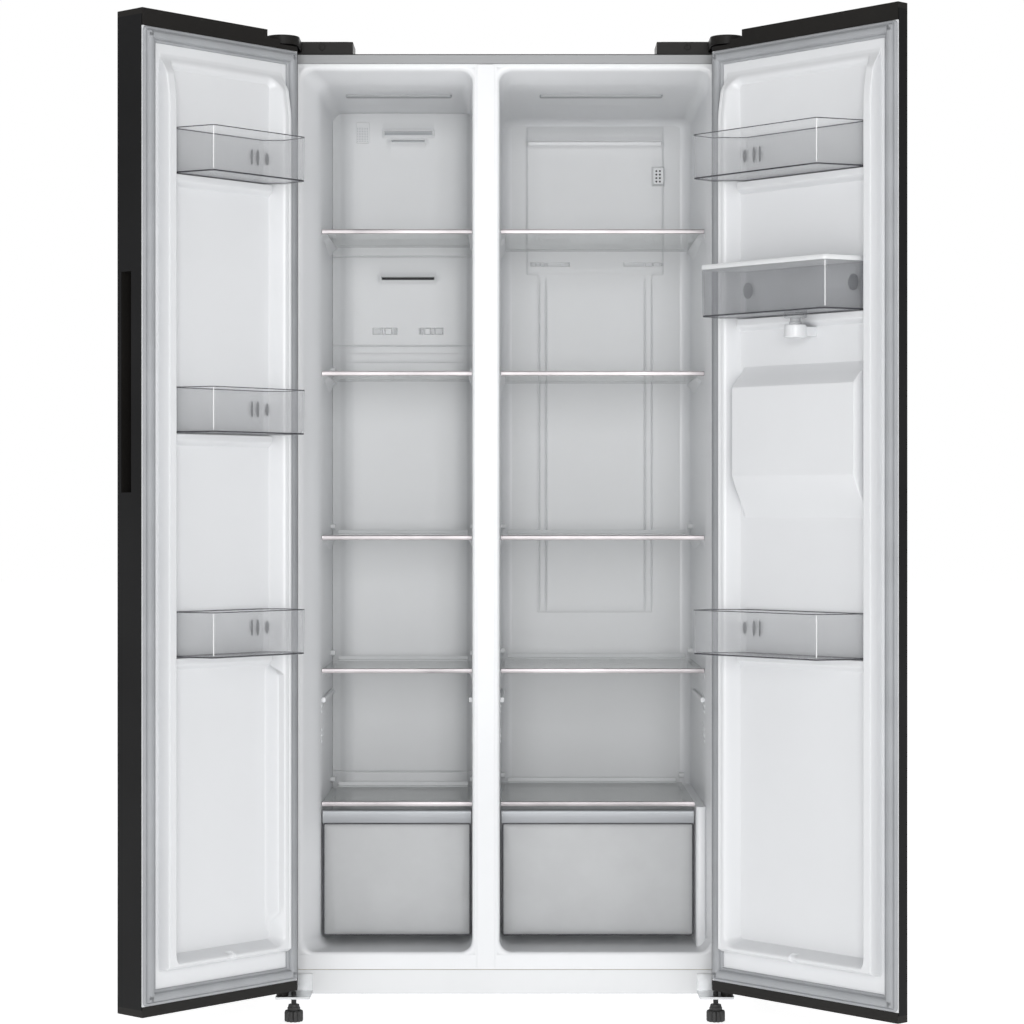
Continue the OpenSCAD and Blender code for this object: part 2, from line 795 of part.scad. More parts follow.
module right_bin(i) {
  color("#b9bfc4", 0.4) right_door()
    tray(bin_plan(right_bin_u, right_w - 64, 32, fridge_bin_v), [right_bin_z[i], right_bin_z[i] + bin_h],
         bin_t);
}

module left_door_skin() {
  left_door() difference() {
    door_skin(left_w, edge_break);
    grip_space(0);
  }
}

module left_door_foam() {
  left_door() difference() {
    door_foam(left_w, edge_break);
    grip_space(pocket_t);
  }
}

module left_door_liner() {
  color("#e9eaeb") left_door() door_liner(left_w, left_bin_z);
}

// The freezer door's trim has the finger pocket's tub as well.
module left_door_trim() {
  left_door() {
    door_trim(left_w, edge_break);
    color("#191919") difference() {
      intersection() {
        grip_space(pocket_t);
        prism(outline(left_w, edge_break, sheet_t, inner_v), door_z);
      }
      grip_space(0);
    }
  }
}

module left_door_gasket() {
  left_door() door_gasket(left_w);
}

// The dispenser niche's space in the fridge door, moved out by g.
module niche_space(g) {
  block([niche_u[0] - g, niche_u[1] + g], [-axis_in - 1, niche_d - axis_in + g],
        [niche_z - g, niche_z + niche_h + g]);
}

module right_door_skin() {
  right_door() difference() {
    door_skin(right_w, grip_bevel);
    niche_space(niche_t);
  }
}

module right_door_foam() {
  right_door() difference() {
    door_foam(right_w, grip_bevel);
    niche_space(niche_t);
  }
}

// The fridge door's liner swells round the niche and carries the tank's socket.
module right_door_liner() {
  swell_u = [84, right_w - 60];
  swell_v = niche_d - axis_in + 27;
  swell_z = [niche_z - 20, niche_z + niche_h + 32];
  t = liner_t;
  color("#e9eaeb") right_door() {
    difference() {
      union() {
        door_liner(right_w, concat(right_bin_z, tank_z));
        block(swell_u, [recess_v - t, swell_v], swell_z);
      }
      block([swell_u[0] + t, swell_u[1] - t], [0, swell_v - t], [swell_z[0] + t, swell_z[1] - t]);
    }
    difference() {
      block([valve_u - 24, valve_u + 24], [recess_v - 1, valve_v + 16], [tank_z - 42, tank_z - 20]);
      translate([valve_u, valve_v, tank_z - 34]) cylinder(r = 13, h = 20);
    }
  }
}

module right_door_trim() {
  right_door() door_trim(right_w, grip_bevel);
}

module right_door_gasket() {
  right_door() door_gasket(right_w);
}

// Open tank with the outlet valve under its floor.
module water_tank() {
  color("#9da4aa", 0.5) right_door() {
    tray(bin_plan(57, right_w - 68, 18, tank_v), [tank_z, tank_z + tank_h], bin_t);
    translate([valve_u, valve_v, tank_z - 24]) cylinder(r = 11, h = 25);
    translate([valve_u, valve_v, tank_z - 8]) cylinder(r = 20, h = 9);
  }
}

module tank_lid() {
  plan = inset(bin_plan(57, right_w - 68, 18, tank_v), -1.5);
  z = [tank_z + tank_h + clear, tank_z + tank_h + clear + lid_t];
  color("#eceded") right_door() prism(plan, z);
}

// Recessed tub in the door's front with a rim, the nozzle and the paddle's ears.
module dispenser_niche() {
  u = (niche_u[0] + niche_u[1]) / 2;
  roof = niche_z + niche_h;
  color("#242426") right_door() {
    difference() {
      union() {
        niche_space(niche_t);
        block([niche_u[0] - 10, niche_u[1] + 10], [-axis_in - 2, -axis_in],
              [niche_z - 10, roof + 10]);
      }
      niche_space(0);
      block([niche_u[0], niche_u[1]], [-axis_in - 3, 0], [niche_z, roof]);
      block([niche_u[0] - 20, niche_u[1] + 20], [-axis_in - 4, -axis_in - 2], [niche_z - 20, roof + 20]);
    }
    translate([u, paddle_v - 22, roof - 26]) cylinder(r = 9, h = 27);
    for (side = [-26, 22]) difference() {
      block([u + side, u + side + 4], [paddle_v - 6, paddle_v + 6], [paddle_z - 7, roof + 1]);
      rod_x(3 + play, [u + side - 1, u + side + 5], paddle_v, paddle_z);
    }
  }
}

// Push plate on a cross pin.
module dispenser_paddle() {
  u = (niche_u[0] + niche_u[1]) / 2;
  color("#34353a") right_door() {
    rod_x(3, [u - 26, u + 26], paddle_v, paddle_z);
    rod_x(5, [u - 21.5, u + 21.5], paddle_v, paddle_z);
    block([u - 20, u + 20], [paddle_v - 2, paddle_v + 2], [paddle_z - 96, paddle_z]);
  }
}

module drip_tray() {
  u = [niche_u[0] + 8, niche_u[1] - 8];
  v = [-axis_in + 2, niche_d - axis_in - 6];
  floor_plan = [[u[0], v[0]], [u[1], v[0]], [u[1], v[1]], [u[0], v[1]]];
  color("#5a5c60") right_door() {
    tray(floor_plan, [niche_z + clear, niche_z + 12], 2);
    for (i = [1 : 9]) block([u[0] + i * 16.4 - 1.5, u[0] + i * 16.4 + 1.5], [v[0] + 1, v[1] - 1],
                            [niche_z + 9, niche_z + 12]);
  }
}

// ---------- shelves and drawers ----------

// A glass shelf with a front strip and a rear rail.
module shelf(x, z, back) {
  inside = [x[0] + side_gap, x[1] - side_gap];
  color("#cfd6d8") cabinet() {
    block(inside, [shelf_front + 8, back], [z - glass_t, z]);
    block(inside, [shelf_front, shelf_front + 12], [z - 7, z + 2]);
    block([inside[0] + ledge_w + 2, inside[1] - ledge_w - 2], [back - 12, back], [z - 1, z + 10]);
  }
}

module freezer_shelf(i) {
  shelf(freezer_x, shelf_z[i], freezer_back);
}

module fridge_shelf(i) {
  shelf([fridge_x[0], i == 4 ? fridge_low_x : fridge_x[1]], shelf_z[i], fridge_back);
}

// A drawer with a deeper front and a metal grip strip along its top.
module drawer(x) {
  u = [x[0] + 2 * side_gap, x[1] - 2 * side_gap];
  y = [shelf_front + 2, step_y - drawer_gap];
  z = [drawer_z, drawer_z + drawer_h];
  color("#c4c9cc", 0.5) cabinet() {
    tray([[u[0], y[0]], [u[1], y[0]], [u[1], y[1]], [u[0], y[1]]], z, drawer_t);
    block([u[0], u[1]], [y[0] - 4, y[0] + 1], [z[1] - 25, z[1]]);
  }
}

module freezer_drawer() {
  drawer(freezer_x);
}

module fridge_drawer() {
  drawer([fridge_x[0], fridge_low_x]);
}

// ---------- nodes ----------

outer_shell();
rear_panel();
base_pan();
cabinet_foam();
freezer_liner();
fridge_liner();
front_rails();
plinth();
freezer_rear_cover();
fridge_duct_cover();
light_covers();
evaporator();
evaporator_fan();
fan_motors();
compressor();
condenser();
condenser_fan();
drain_pan();
machine_cover();
control_box();
power_inlet();
hinge_brackets();
hinge_covers();
left_foot();
right_foot();
rear_rollers();
left_door_skin();
left_door_foam();
left_door_liner();
left_door_trim();
left_door_gasket();
left_bin(0);  // left_bin_1
left_bin(1);  // left_bin_2
left_bin(2);  // left_bin_3
right_door_skin();
right_door_foam();
right_door_liner();
right_door_trim();
right_door_gasket();
right_bin(0);  // right_bin_1
right_bin(1);  // right_bin_2
water_tank();
tank_lid();
dispenser_niche();
dispenser_paddle();
drip_tray();
freezer_shelf(0);  // freezer_shelf_1
freezer_shelf(1);  // freezer_shelf_2
freezer_shelf(2);  // freezer_shelf_3
freezer_shelf(3);  // freezer_shelf_4
freezer_shelf(4);  // freezer_shelf_5
fridge_shelf(0);  // fridge_shelf_1
fridge_shelf(1);  // fridge_shelf_2
fridge_shelf(2);  // fridge_shelf_3
fridge_shelf(3);  // fridge_shelf_4
fridge_shelf(4);  // fridge_shelf_5
freezer_drawer();
fridge_drawer();
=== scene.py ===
# %% [markdown]
# # A side by side refrigerator with both doors open
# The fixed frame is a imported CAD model: steel shell, foam, hinges, shelves, bins and machines, each in
# its true place. The lesson puts the soft, formed and clear surfaces round it. A vacuum-formed liner
# has no sharp edge anywhere, a clear bin is seen through its own wall, and a rubber seal is a profile
# carried round a door. Each of those is a formula on a grid of points, worked out with numpy.

# %% Load the frame
import json
import bmesh
import bpy
import numpy as np
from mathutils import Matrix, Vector


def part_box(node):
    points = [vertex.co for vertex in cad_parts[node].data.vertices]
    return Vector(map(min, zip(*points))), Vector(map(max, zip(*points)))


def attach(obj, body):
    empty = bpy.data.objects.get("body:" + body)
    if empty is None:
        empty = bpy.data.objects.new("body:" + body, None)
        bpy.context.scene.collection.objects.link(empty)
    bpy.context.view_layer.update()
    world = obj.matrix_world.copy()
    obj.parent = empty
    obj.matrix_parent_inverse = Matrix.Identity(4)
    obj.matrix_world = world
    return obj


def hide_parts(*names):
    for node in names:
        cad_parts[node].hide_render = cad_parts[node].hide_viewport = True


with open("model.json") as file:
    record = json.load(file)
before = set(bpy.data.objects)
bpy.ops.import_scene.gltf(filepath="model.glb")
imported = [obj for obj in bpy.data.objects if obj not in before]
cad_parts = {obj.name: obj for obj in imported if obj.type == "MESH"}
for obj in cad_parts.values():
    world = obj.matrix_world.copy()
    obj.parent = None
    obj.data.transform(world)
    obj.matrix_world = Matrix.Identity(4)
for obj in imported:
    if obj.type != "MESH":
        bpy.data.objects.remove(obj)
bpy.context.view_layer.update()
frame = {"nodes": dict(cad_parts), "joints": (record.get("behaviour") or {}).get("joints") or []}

MM = 0.001

# %% [markdown]
# ## The camera
# The view is level and straight on, from about five metres with a long lens, so the cabinet's sides
# don't converge. A long lens far away and a short lens close by can frame the same object, but only
# the long one keeps both open doors at their true relation to the cabinet behind them.

# %% Camera
data = bpy.data.cameras.new("camera")
data.lens = 94.9
data.sensor_width = 36
camera = bpy.data.objects.new("camera", data)
camera.location = (0.013, -5.2, 0.917)
camera.rotation_euler = (np.pi / 2, 0, 0)
bpy.context.collection.objects.link(camera)
bpy.context.scene.camera = camera
print("camera at", tuple(camera.location), "with a lens of", data.lens, "mm")

# %% [markdown]
# ## Points, grids and meshes
# A surface here is an array of points with two directions. One helper turns such a grid into a mesh.
# It could be done with bmesh, one vertex at a time, but whole arrays are quicker and read like the
# formula they come from.

# %% A grid of points becomes a mesh
def make_object(name, points, faces, material, soft=True):
    """A mesh object at the origin, from arrays of points in metres and of point numbers per face."""
    mesh = bpy.data.meshes.new(name)
    mesh.from_pydata(points.tolist(), [], faces.tolist())
    mesh.polygons.foreach_set("use_smooth", np.full(len(mesh.polygons), soft))
    mesh.validate()
    mesh.update()
    mesh.materials.append(material)
    piece = bpy.data.objects.new(name, mesh)
    bpy.context.collection.objects.link(piece)
    return piece


def grid_faces(rows, columns, round_rows=False, round_columns=False):
    """Four-sided faces between neighbours of a grid, going round where a direction closes."""
    i = np.arange(rows if round_rows else rows - 1)
    j = np.arange(columns if round_columns else columns - 1)
    i, j = np.meshgrid(i, j, indexing="ij")
    k, m = (i + 1) % rows, (j + 1) % columns
    return np.stack([i * columns + j, k * columns + j, k * columns + m, i * columns + m], -1).reshape(-1, 4)


def outward(piece):
    """Turns a closed piece's faces outwards, after its doubles are merged."""
    work = bmesh.new()
    work.from_mesh(piece.data)
    bmesh.ops.remove_doubles(work, verts=work.verts, dist=1e-6)
    bmesh.ops.recalc_face_normals(work, faces=work.faces)
    work.to_mesh(piece.data)
    work.free()
    return piece


def grid_object(name, points, material, round_rows=False, round_columns=False, flip=False):
    """A sheet from an array of shape rows x columns x 3; flip turns its faces to the other side."""
    rows, columns = points.shape[:2]
    faces = grid_faces(rows, columns, round_rows, round_columns)
    if flip:
        faces = faces[:, ::-1]
    return make_object(name, points.reshape(-1, 3), faces, material)


def sharpen(piece, angle=40):
    """Keeps edges steeper than the angle crisp, and shades the rest as one smooth skin."""
    piece.data.set_sharp_from_angle(angle=np.radians(angle))
    return piece


print("a 4 by 5 grid has", len(grid_faces(4, 5)), "faces")

# %% Steps and ramps
def smooth(t):
    """0 below 0, 1 above 1, and 3t^2 - 2t^3 between, which leaves and arrives level."""
    t = np.clip(t, 0, 1)
    return t * t * (3 - 2 * t)


def rise(a, box, run):
    """1 inside box = (low, high), falling to 0 outside it over run = (before, after)."""
    return np.minimum((a - box[0]) / run[0], (box[1] - a) / run[1])


def pad(a, b, box_a, box_b, run):
    """A raised pad with round corners: the two ramps meet on a circle instead of at a corner."""
    low_a = 1 - np.clip(rise(a, box_a, run[:2]), 0, 1)
    low_b = 1 - np.clip(rise(b, box_b, run[2:]), 0, 1)
    return smooth(1 - np.hypot(low_a, low_b))


def even(*run):
    """The same run on all four sides."""
    return run * 4 if len(run) == 1 else run


def lines(low, high, marks, coarse=12.0, fine=(0, 0.6, 1.2, 2, 3)):
    """Grid lines from low to high: evenly coarse, with close ones on both sides of each mark."""
    near = np.ravel([[m - f, m + f] for m in marks for f in fine])
    rest = np.linspace(low, high, max(2, int((high - low) / coarse)))
    near = near[(near > low) & (near < high)]
    return np.unique(np.round(np.concatenate([rest, near]), 3))


print("a pad's height across its edge:", np.round(pad(np.arange(0, 5), 5, (0, 20), (0, 10), even(4)), 2))

# %% Outlines with round corners
def fillet(corners, radii, steps=6):
    """A closed outline whose corners are arcs: each is a circle that touches both of its sides."""
    corners = np.asarray(corners, float)
    radii = np.broadcast_to(radii, len(corners))
    out = []
    for before, here, after, r in zip(np.roll(corners, 1, 0), corners, np.roll(corners, -1, 0), radii):
        a = (before - here) / np.linalg.norm(before - here)
        b = (after - here) / np.linalg.norm(after - here)
        half = np.arccos(np.clip(a @ b, -1, 1)) / 2
        shorter = min(np.linalg.norm(before - here), np.linalg.norm(after - here))
        reach = min(r / np.tan(half), 0.45 * shorter)
        r = reach * np.tan(half)
        centre = here + (a + b) / np.linalg.norm(a + b) * r / np.sin(half)
        start, end = here + a * reach - centre, here + b * reach - centre
        turn = np.arctan2(start[0] * end[1] - start[1] * end[0], start @ end)
        t = np.linspace(0, turn, steps)
        out.append(centre + np.stack([start[0] * np.cos(t) - start[1] * np.sin(t),
                                      start[0] * np.sin(t) + start[1] * np.cos(t)], 1))
    return np.concatenate(out)


def shrink(outline, t):
    """Every point of an anticlockwise outline moved in by t, along the bisector of its two sides."""
    ahead = np.roll(outline, -1, 0) - outline
    ahead /= np.linalg.norm(ahead, axis=1)[:, None] + 1e-12
    behind = np.roll(ahead, 1, 0)
    a = np.stack([-behind[:, 1], behind[:, 0]], 1)
    b = np.stack([-ahead[:, 1], ahead[:, 0]], 1)
    return outline + t * (a + b) / (1 + (a * b).sum(1))[:, None]


def rectangle(x0, x1, z0, z1):
    """The four corners of a rectangle, anticlockwise."""
    return np.array([[x0, z0], [x1, z0], [x1, z1], [x0, z1]])


print("a filleted square has", len(fillet(rectangle(0, 10, 0, 10), 2)), "points")

# %% Closed solids from rings
def stack(outline, levels):
    """Rings of one outline: level (t, h) is the outline moved in by t at height h, in millimetres."""
    return np.stack([np.column_stack([shrink(outline, t), np.full(len(outline), h)]) for t, h in levels])


def closed_loop(name, rings, material, place):
    """A closed solid through given rings, with both ends drawn together in their middles."""
    ends = [np.repeat(rings[k].mean(0)[None], rings.shape[1], 0)[None] for k in (0, -1)]
    rings = np.concatenate([ends[0], rings, ends[1]])
    return sharpen(outward(grid_object(name, place(rings) * MM, material, round_columns=True)))


def closed_stack(name, outline, levels, material, place):
    """A closed solid from one outline: each level (t, h) is a ring moved in by t at height h."""
    return closed_loop(name, stack(outline, levels), material, place)


def bar(name, section, span, material, place):
    """A closed bar: a section in two directions carried along the third, from span[0] to span[1]."""
    ends = np.stack([np.column_stack([np.full(len(section), s), section]) for s in span])
    return closed_loop(name, ends, material, place)


print("a stack of two levels is", stack(fillet(rectangle(0, 10, 0, 10), 2), [(0, 0), (1, 5)]).shape)

# %% Where drawn points go
def as_is(points):
    """Points already in the cabinet's own frame."""
    return points


def upright(y_of_h, sign=1):
    """Turns rings drawn in x and z so that their height runs along y, from y_of_h."""
    return lambda p: np.stack([p[..., 0], y_of_h + sign * p[..., 2], p[..., 1]], -1)


def backwards(points):
    """A bar's span and section (y, x, z) put in x, y, z order, so that it runs from front to back."""
    return points[..., [1, 0, 2]]


print("a bar's first axis turned to y:", backwards(np.array([1, 2, 3])))

# %% [markdown]
# ## Finishes
# Every finish is a small network of nodes on Object coordinates: a noise that shifts the colour a
# little, the same noise for the roughness, and a fine one for the bump. A flat colour would look like
# paint on a screen, while real sheet and plastic always vary by a few percent over a hand's width.
# Thin clear plastic could bend light through two surfaces, but stacked bins would then turn black in
# one another's shadow. Here its opacity grows as the wall is seen edge on, as it does to the eye.

# %% One recipe for all finishes
def finish(name, colour, roughness, metallic=0.0, vary=0.05, patch=4.0, grain=900.0, bump=0.05,
           stretch=(1, 1, 1), worn=0.05, clear=None, **socket):
    """A Principled material: colour and roughness drift with a slow noise, and a fine noise bumps it.

    clear = (through, edge) is its opacity seen square on and seen along the wall, for thin plastic.
    Any further name is a socket of the shader, in small letters with underscores.
    """
    material = bpy.data.materials.new(name)
    material.use_nodes = True
    nodes, links = material.node_tree.nodes, material.node_tree.links
    shader = nodes["Principled BSDF"]
    shader.inputs["Metallic"].default_value = metallic
    for key, value in socket.items():
        shader.inputs[key.replace("_", " ").title().replace("Ior", "IOR")].default_value = value
    place = nodes.new("ShaderNodeTexCoord")
    scale = nodes.new("ShaderNodeMapping")
    scale.inputs["Scale"].default_value = stretch
    links.new(place.outputs["Object"], scale.inputs["Vector"])
    slow, fine = nodes.new("ShaderNodeTexNoise"), nodes.new("ShaderNodeTexNoise")
    slow.inputs["Scale"].default_value, slow.inputs["Detail"].default_value = patch, 4
    fine.inputs["Scale"].default_value, fine.inputs["Detail"].default_value = grain, 3
    links.new(place.outputs["Object"], slow.inputs["Vector"])
    links.new(scale.outputs["Vector"], fine.inputs["Vector"])
    tint = nodes.new("ShaderNodeValToRGB")
    dark, light = [np.clip(np.array(colour) * (1 + s * vary), 0, 1) for s in (-1, 1)]
    tint.color_ramp.elements[0].position, tint.color_ramp.elements[1].position = 0.35, 0.65
    tint.color_ramp.elements[0].color = (*dark, 1)
    tint.color_ramp.elements[1].color = (*light, 1)
    rub = nodes.new("ShaderNodeMapRange")
    rub.inputs["To Min"].default_value = max(roughness - worn, 0.02)
    rub.inputs["To Max"].default_value = roughness + worn
    raised = nodes.new("ShaderNodeBump")
    raised.inputs["Strength"].default_value = bump
    raised.inputs["Distance"].default_value = 0.0005
    links.new(slow.outputs["Fac"], tint.inputs["Fac"])
    links.new(tint.outputs["Color"], shader.inputs["Base Color"])
    links.new(slow.outputs["Fac"], rub.inputs["Value"])
    links.new(rub.outputs["Result"], shader.inputs["Roughness"])
    links.new(fine.outputs["Fac"], raised.inputs["Height"])
    links.new(raised.outputs["Normal"], shader.inputs["Normal"])
    if clear:
        slant, opacity = nodes.new("ShaderNodeLayerWeight"), nodes.new("ShaderNodeMapRange")
        slant.inputs["Blend"].default_value = 0.35
        opacity.inputs["To Min"].default_value, opacity.inputs["To Max"].default_value = clear
        links.new(slant.outputs["Facing"], opacity.inputs["Value"])
        links.new(opacity.outputs["Result"], shader.inputs["Alpha"])
    return material


# %% Steel and metal
black_steel = finish("black_steel", (0.009, 0.009, 0.0095), 0.42, vary=0.2, grain=1500, bump=0.12,
                     specular_ior_level=0.12)
cap_plastic = finish("cap_plastic", (0.012, 0.011, 0.01), 0.45, vary=0.15, grain=1800, bump=0.15,
                     specular_ior_level=0.2)
zinc = finish("zinc_steel", (0.52, 0.53, 0.54), 0.36, 0.9, vary=0.12, patch=30, grain=300, bump=0.1)
rear_steel = finish("rear_steel", (0.1, 0.1, 0.105), 0.45, 0.5, vary=0.1, grain=600, bump=0.1)
rail_steel = finish("rail_steel", (0.27, 0.275, 0.28), 0.45, 0.4, grain=500, stretch=(0.02, 1, 1),
                    bump=0.15)
brushed = finish("brushed_grip", (0.3, 0.31, 0.325), 0.38, 0.6, grain=900, stretch=(0.01, 1, 1), bump=0.3)
# The strong slow noise in this colour is painted reflection: light and dark patches along the strip stand in
# for what its polished face mirrors.
bright_strip = finish("bright_strip", (0.4, 0.375, 0.385), 0.3, 0.35, vary=0.35, patch=5, grain=500,
                      bump=0.02)
fins = finish("fin_aluminium", (0.68, 0.69, 0.71), 0.34, 0.95, vary=0.08, patch=25, grain=400)
dark_fins = finish("dark_fins", (0.04, 0.04, 0.043), 0.5, 0.4, vary=0.2, patch=30, grain=400)
can_black = finish("compressor_black", (0.02, 0.02, 0.022), 0.38, 0.4, vary=0.25, patch=15, grain=350,
                   bump=0.2)
motor_dark = finish("motor_dark", (0.09, 0.09, 0.1), 0.45, 0.5, vary=0.15, patch=40)
print("metals made:", len(bpy.data.materials))

# %% Plastic, foam and rubber
liner_white = finish("liner_white", (0.74, 0.75, 0.765), 0.3, vary=0.015, patch=3, grain=1200, bump=0.04,
                     coat_weight=0.15, coat_roughness=0.2)
door_white = finish("door_liner_white", (0.7, 0.71, 0.725), 0.32, vary=0.015, patch=3, grain=1200,
                    bump=0.04, coat_weight=0.15, coat_roughness=0.2)
cover_white = finish("cover_white", (0.7, 0.71, 0.72), 0.38, vary=0.02, grain=1500, bump=0.08)
trim_grey = finish("trim_grey", (0.4, 0.42, 0.44), 0.4, vary=0.03, grain=1200, bump=0.06)
light_white = finish("light_cover", (0.4, 0.41, 0.42), 0.5, vary=0.01, grain=600, stretch=(1, 0.1, 1),
                     bump=0.1)
shadow_black = finish("slot_black", (0.02, 0.02, 0.022), 0.6, vary=0.1)
foam_cream = finish("foam_cream", (0.78, 0.68, 0.42), 0.9, vary=0.08, patch=30, grain=500, bump=0.8)
pan_plastic = finish("pan_plastic", (0.66, 0.66, 0.62), 0.55, vary=0.04, grain=700, bump=0.1)
board_cream = finish("control_cream", (0.72, 0.71, 0.64), 0.5, vary=0.04, grain=700, bump=0.1)
fan_plastic = finish("fan_plastic", (0.3, 0.31, 0.32), 0.45, vary=0.06, patch=20, grain=700)
niche_black = finish("niche_black", (0.016, 0.016, 0.018), 0.3, vary=0.15, grain=900)
paddle_grey = finish("paddle_grey", (0.07, 0.072, 0.078), 0.35, vary=0.1, grain=900)
foot_black = finish("foot_black", (0.03, 0.03, 0.03), 0.55, vary=0.15, patch=30, grain=900, bump=0.2)
seal_grey = finish("seal_grey", (0.33, 0.34, 0.355), 0.6, vary=0.05, patch=12, grain=1500, bump=0.12)
print("with plastics:", len(bpy.data.materials))

# %% Glass and clear plastic
glass = finish("shelf_glass", (0.66, 0.69, 0.68), 0.04, vary=0.02, bump=0.01, worn=0.02, clear=(0.06, 0.5))
clear_bin = finish("clear_bin", (0.5, 0.51, 0.53), 0.08, vary=0.06, patch=12, bump=0.02, worn=0.04,
                   clear=(0.035, 0.45))
clear_tank = finish("clear_tank", (0.33, 0.34, 0.36), 0.12, vary=0.12, patch=18, bump=0.05, worn=0.05,
                    clear=(0.1, 0.6))
frosted = finish("frosted_drawer", (0.78, 0.79, 0.8), 0.45, vary=0.025, patch=18, grain=420, bump=0.12,
                 worn=0.08, clear=(0.35, 0.55))
# Painted highlight: the bright line in a clear wall's slanted corner.
fold_highlight_paint = finish("painted_fold_highlight", (0.95, 0.96, 0.97), 0.2, vary=0.02, patch=20, clear=(0.55, 0.2))
# Painted shade: the dark beads along the edges of clear plastic, seen edge on.
edge_shade_paint = finish("painted_edge_shade", (0.05, 0.05, 0.06), 0.2, vary=0.2, patch=20, clear=(0.75, 0.85))
print("finishes made:", len(bpy.data.materials))

# %% [markdown]
# ## Places from the frame
# Nothing below knows a number of the cabinet's plan by heart: compartments, shelves and doors are
# read from the boxes of the CAD nodes, in millimetres. A door stands open, so its nodes are measured
# along the door itself: u from the hinge axis to the free edge, v from the axis into the cabinet.

# %% Boxes in millimetres
def box(node):
    """A CAD node's lowest and highest corner in millimetres."""
    low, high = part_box(node)
    return np.array(low) / MM, np.array(high) / MM


class Door:
    """A door's own directions, from its hinge joint: u along it, v into the cabinet."""

    def __init__(self, side):
        joint = next(j for j in frame["joints"] if j["name"] == side + "_door_hinge")
        angle = np.radians(-joint["range_deg"][0])
        sign = 1 if side == "right" else -1
        self.side, self.body = side, side + "_door"
        self.at = np.array(joint["pos_m"][:2]) / MM
        self.u = np.array([-sign * np.cos(angle), -np.sin(angle)])
        self.v = np.array([-sign * np.sin(angle), np.cos(angle)])

    def place(self, points):
        """Points given as u, v, z turned into the cabinet's frame."""
        flat = self.at + points[..., :1] * self.u + points[..., 1:2] * self.v
        return np.concatenate([flat, points[..., 2:]], -1)

    def lying(self, points):
        """Points given as u, z and height above the door's back, as a wall relief is drawn."""
        return self.place(points[..., [0, 2, 1]])

    def box(self, node):
        """A node's lowest and highest u, v and z."""
        mesh = frame["nodes"][node].data
        at = np.empty(len(mesh.vertices) * 3)
        mesh.vertices.foreach_get("co", at)
        at = at.reshape(-1, 3) / MM
        flat = at[:, :2] - self.at
        own = np.column_stack([flat @ self.u, flat @ self.v, at[:, 2]])
        return own.min(0), own.max(0)


left, right = Door("left"), Door("right")
shell_low, shell_high = box("outer_shell")
front_y = shell_low[1]
for door in (left, right):
    print(door.side, "door liner:", np.round(door.box(door.body + "_liner"), 1).tolist())

# %% Pieces that ride and replace
def settle(piece, body, *nodes, slot):
    """The piece rides on a body, and stands for the CAD nodes that it replaces."""
    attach(piece, body)
    if nodes:
        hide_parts(*nodes)
    return piece


def paint(material, *nodes):
    """Gives carried-over CAD nodes their finish."""
    for node in nodes:
        for place in frame["nodes"][node].material_slots:
            place.material = material


print("hinges at", np.round(left.at, 1), "and", np.round(right.at, 1))

# %% [markdown]
# ## The inner liners
# A liner is one sheet of white plastic drawn into a mould, so every corner is round and the walls flow
# into the front frame. It could be a box with a Bevel, but the mouth also flares and the floor steps
# up over the machines. Rings of one rounded rectangle, each with its own size at its own depth, give
# all of that at once: the rings are the rows of the grid.

# %% The walls of both compartments
# Behind the front the walls close in over the depth flare: by ceiling_flare at the top, and by
# side_flares on the left and right. The other four are the radii of the rounded places.
flare, ceiling_flare = 60.0, 21.0
side_flares = {"freezer_inside": (29, 0.5), "fridge_inside": (0.5, 5)}
corner, lip, floor_bend, back_bend = 22.0, 5.0, 16.0, 20.0
freezer_walls, fridge_walls = box("freezer_rear_cover"), box("fridge_shelf_1")
inner = {"freezer_inside": (freezer_walls[0][0] - 0.5, freezer_walls[1][0] + 0.5),
         "fridge_inside": (fridge_walls[0][0] - 1.5, fridge_walls[1][0] + 1.5)}
ceiling_z = freezer_walls[1][2] + 0.5
floor_z = box("freezer_drawer")[0][2] - 17
back_y = box("fridge_liner")[1][1] - 2.5
step_y, step_z = box("freezer_drawer")[1][1] + 5, freezer_walls[0][2] - 0.5
print("inside walls:", {k: np.round(v, 1).tolist() for k, v in inner.items()}, "floor", floor_z)

# %% A liner from rings
def liner_rings(name):
    """The rings of a compartment, each (x0, x1, z0, z1, corner radius, y), from the front to the back."""
    (x0, x1), z0, z1 = inner[name], floor_z, ceiling_z
    turn = np.linspace(0, np.pi / 2, 6)

    def mouth_ring(depth, out, radius=corner):
        """A ring behind the front: the mouth narrows evenly over the flare, and out is the lip's share."""
        share = 1 - depth / flare
        low_flare, high_flare = side_flares[name]
        return (x0 - low_flare * share - out, x1 + high_flare * share + out, z0 - out,
                z1 + ceiling_flare * share + out, radius, front_y + depth)

    rings = [mouth_ring(1, lip + 9, 6)]
    rings += [mouth_ring(1 + lip * (1 - np.cos(t)), lip * (1 - np.sin(t))) for t in turn]
    rings += [mouth_ring(depth, 0) for depth in (14, 33, 51)]
    rings += [(x0, x1, z0, z1, corner, y) for y in np.linspace(front_y + flare + 8, step_y - 32, 5)]
    for t in turn:
        rings.append((x0, x1, z0 + floor_bend * (1 - np.cos(t)), z1, corner,
                      step_y - floor_bend * (1 - np.sin(t))))
    for t in turn:
        rings.append((x0, x1, step_z - floor_bend * (1 - np.sin(t)), z1, corner,
                      step_y + floor_bend * (1 - np.cos(t))))
    for t in turn:
        inset = back_bend * (1 - np.cos(t))
        rings.append((x0 + inset, x1 - inset, step_z + inset, z1 - inset, corner,
                      back_y - back_bend * (1 - np.sin(t))))
    return rings


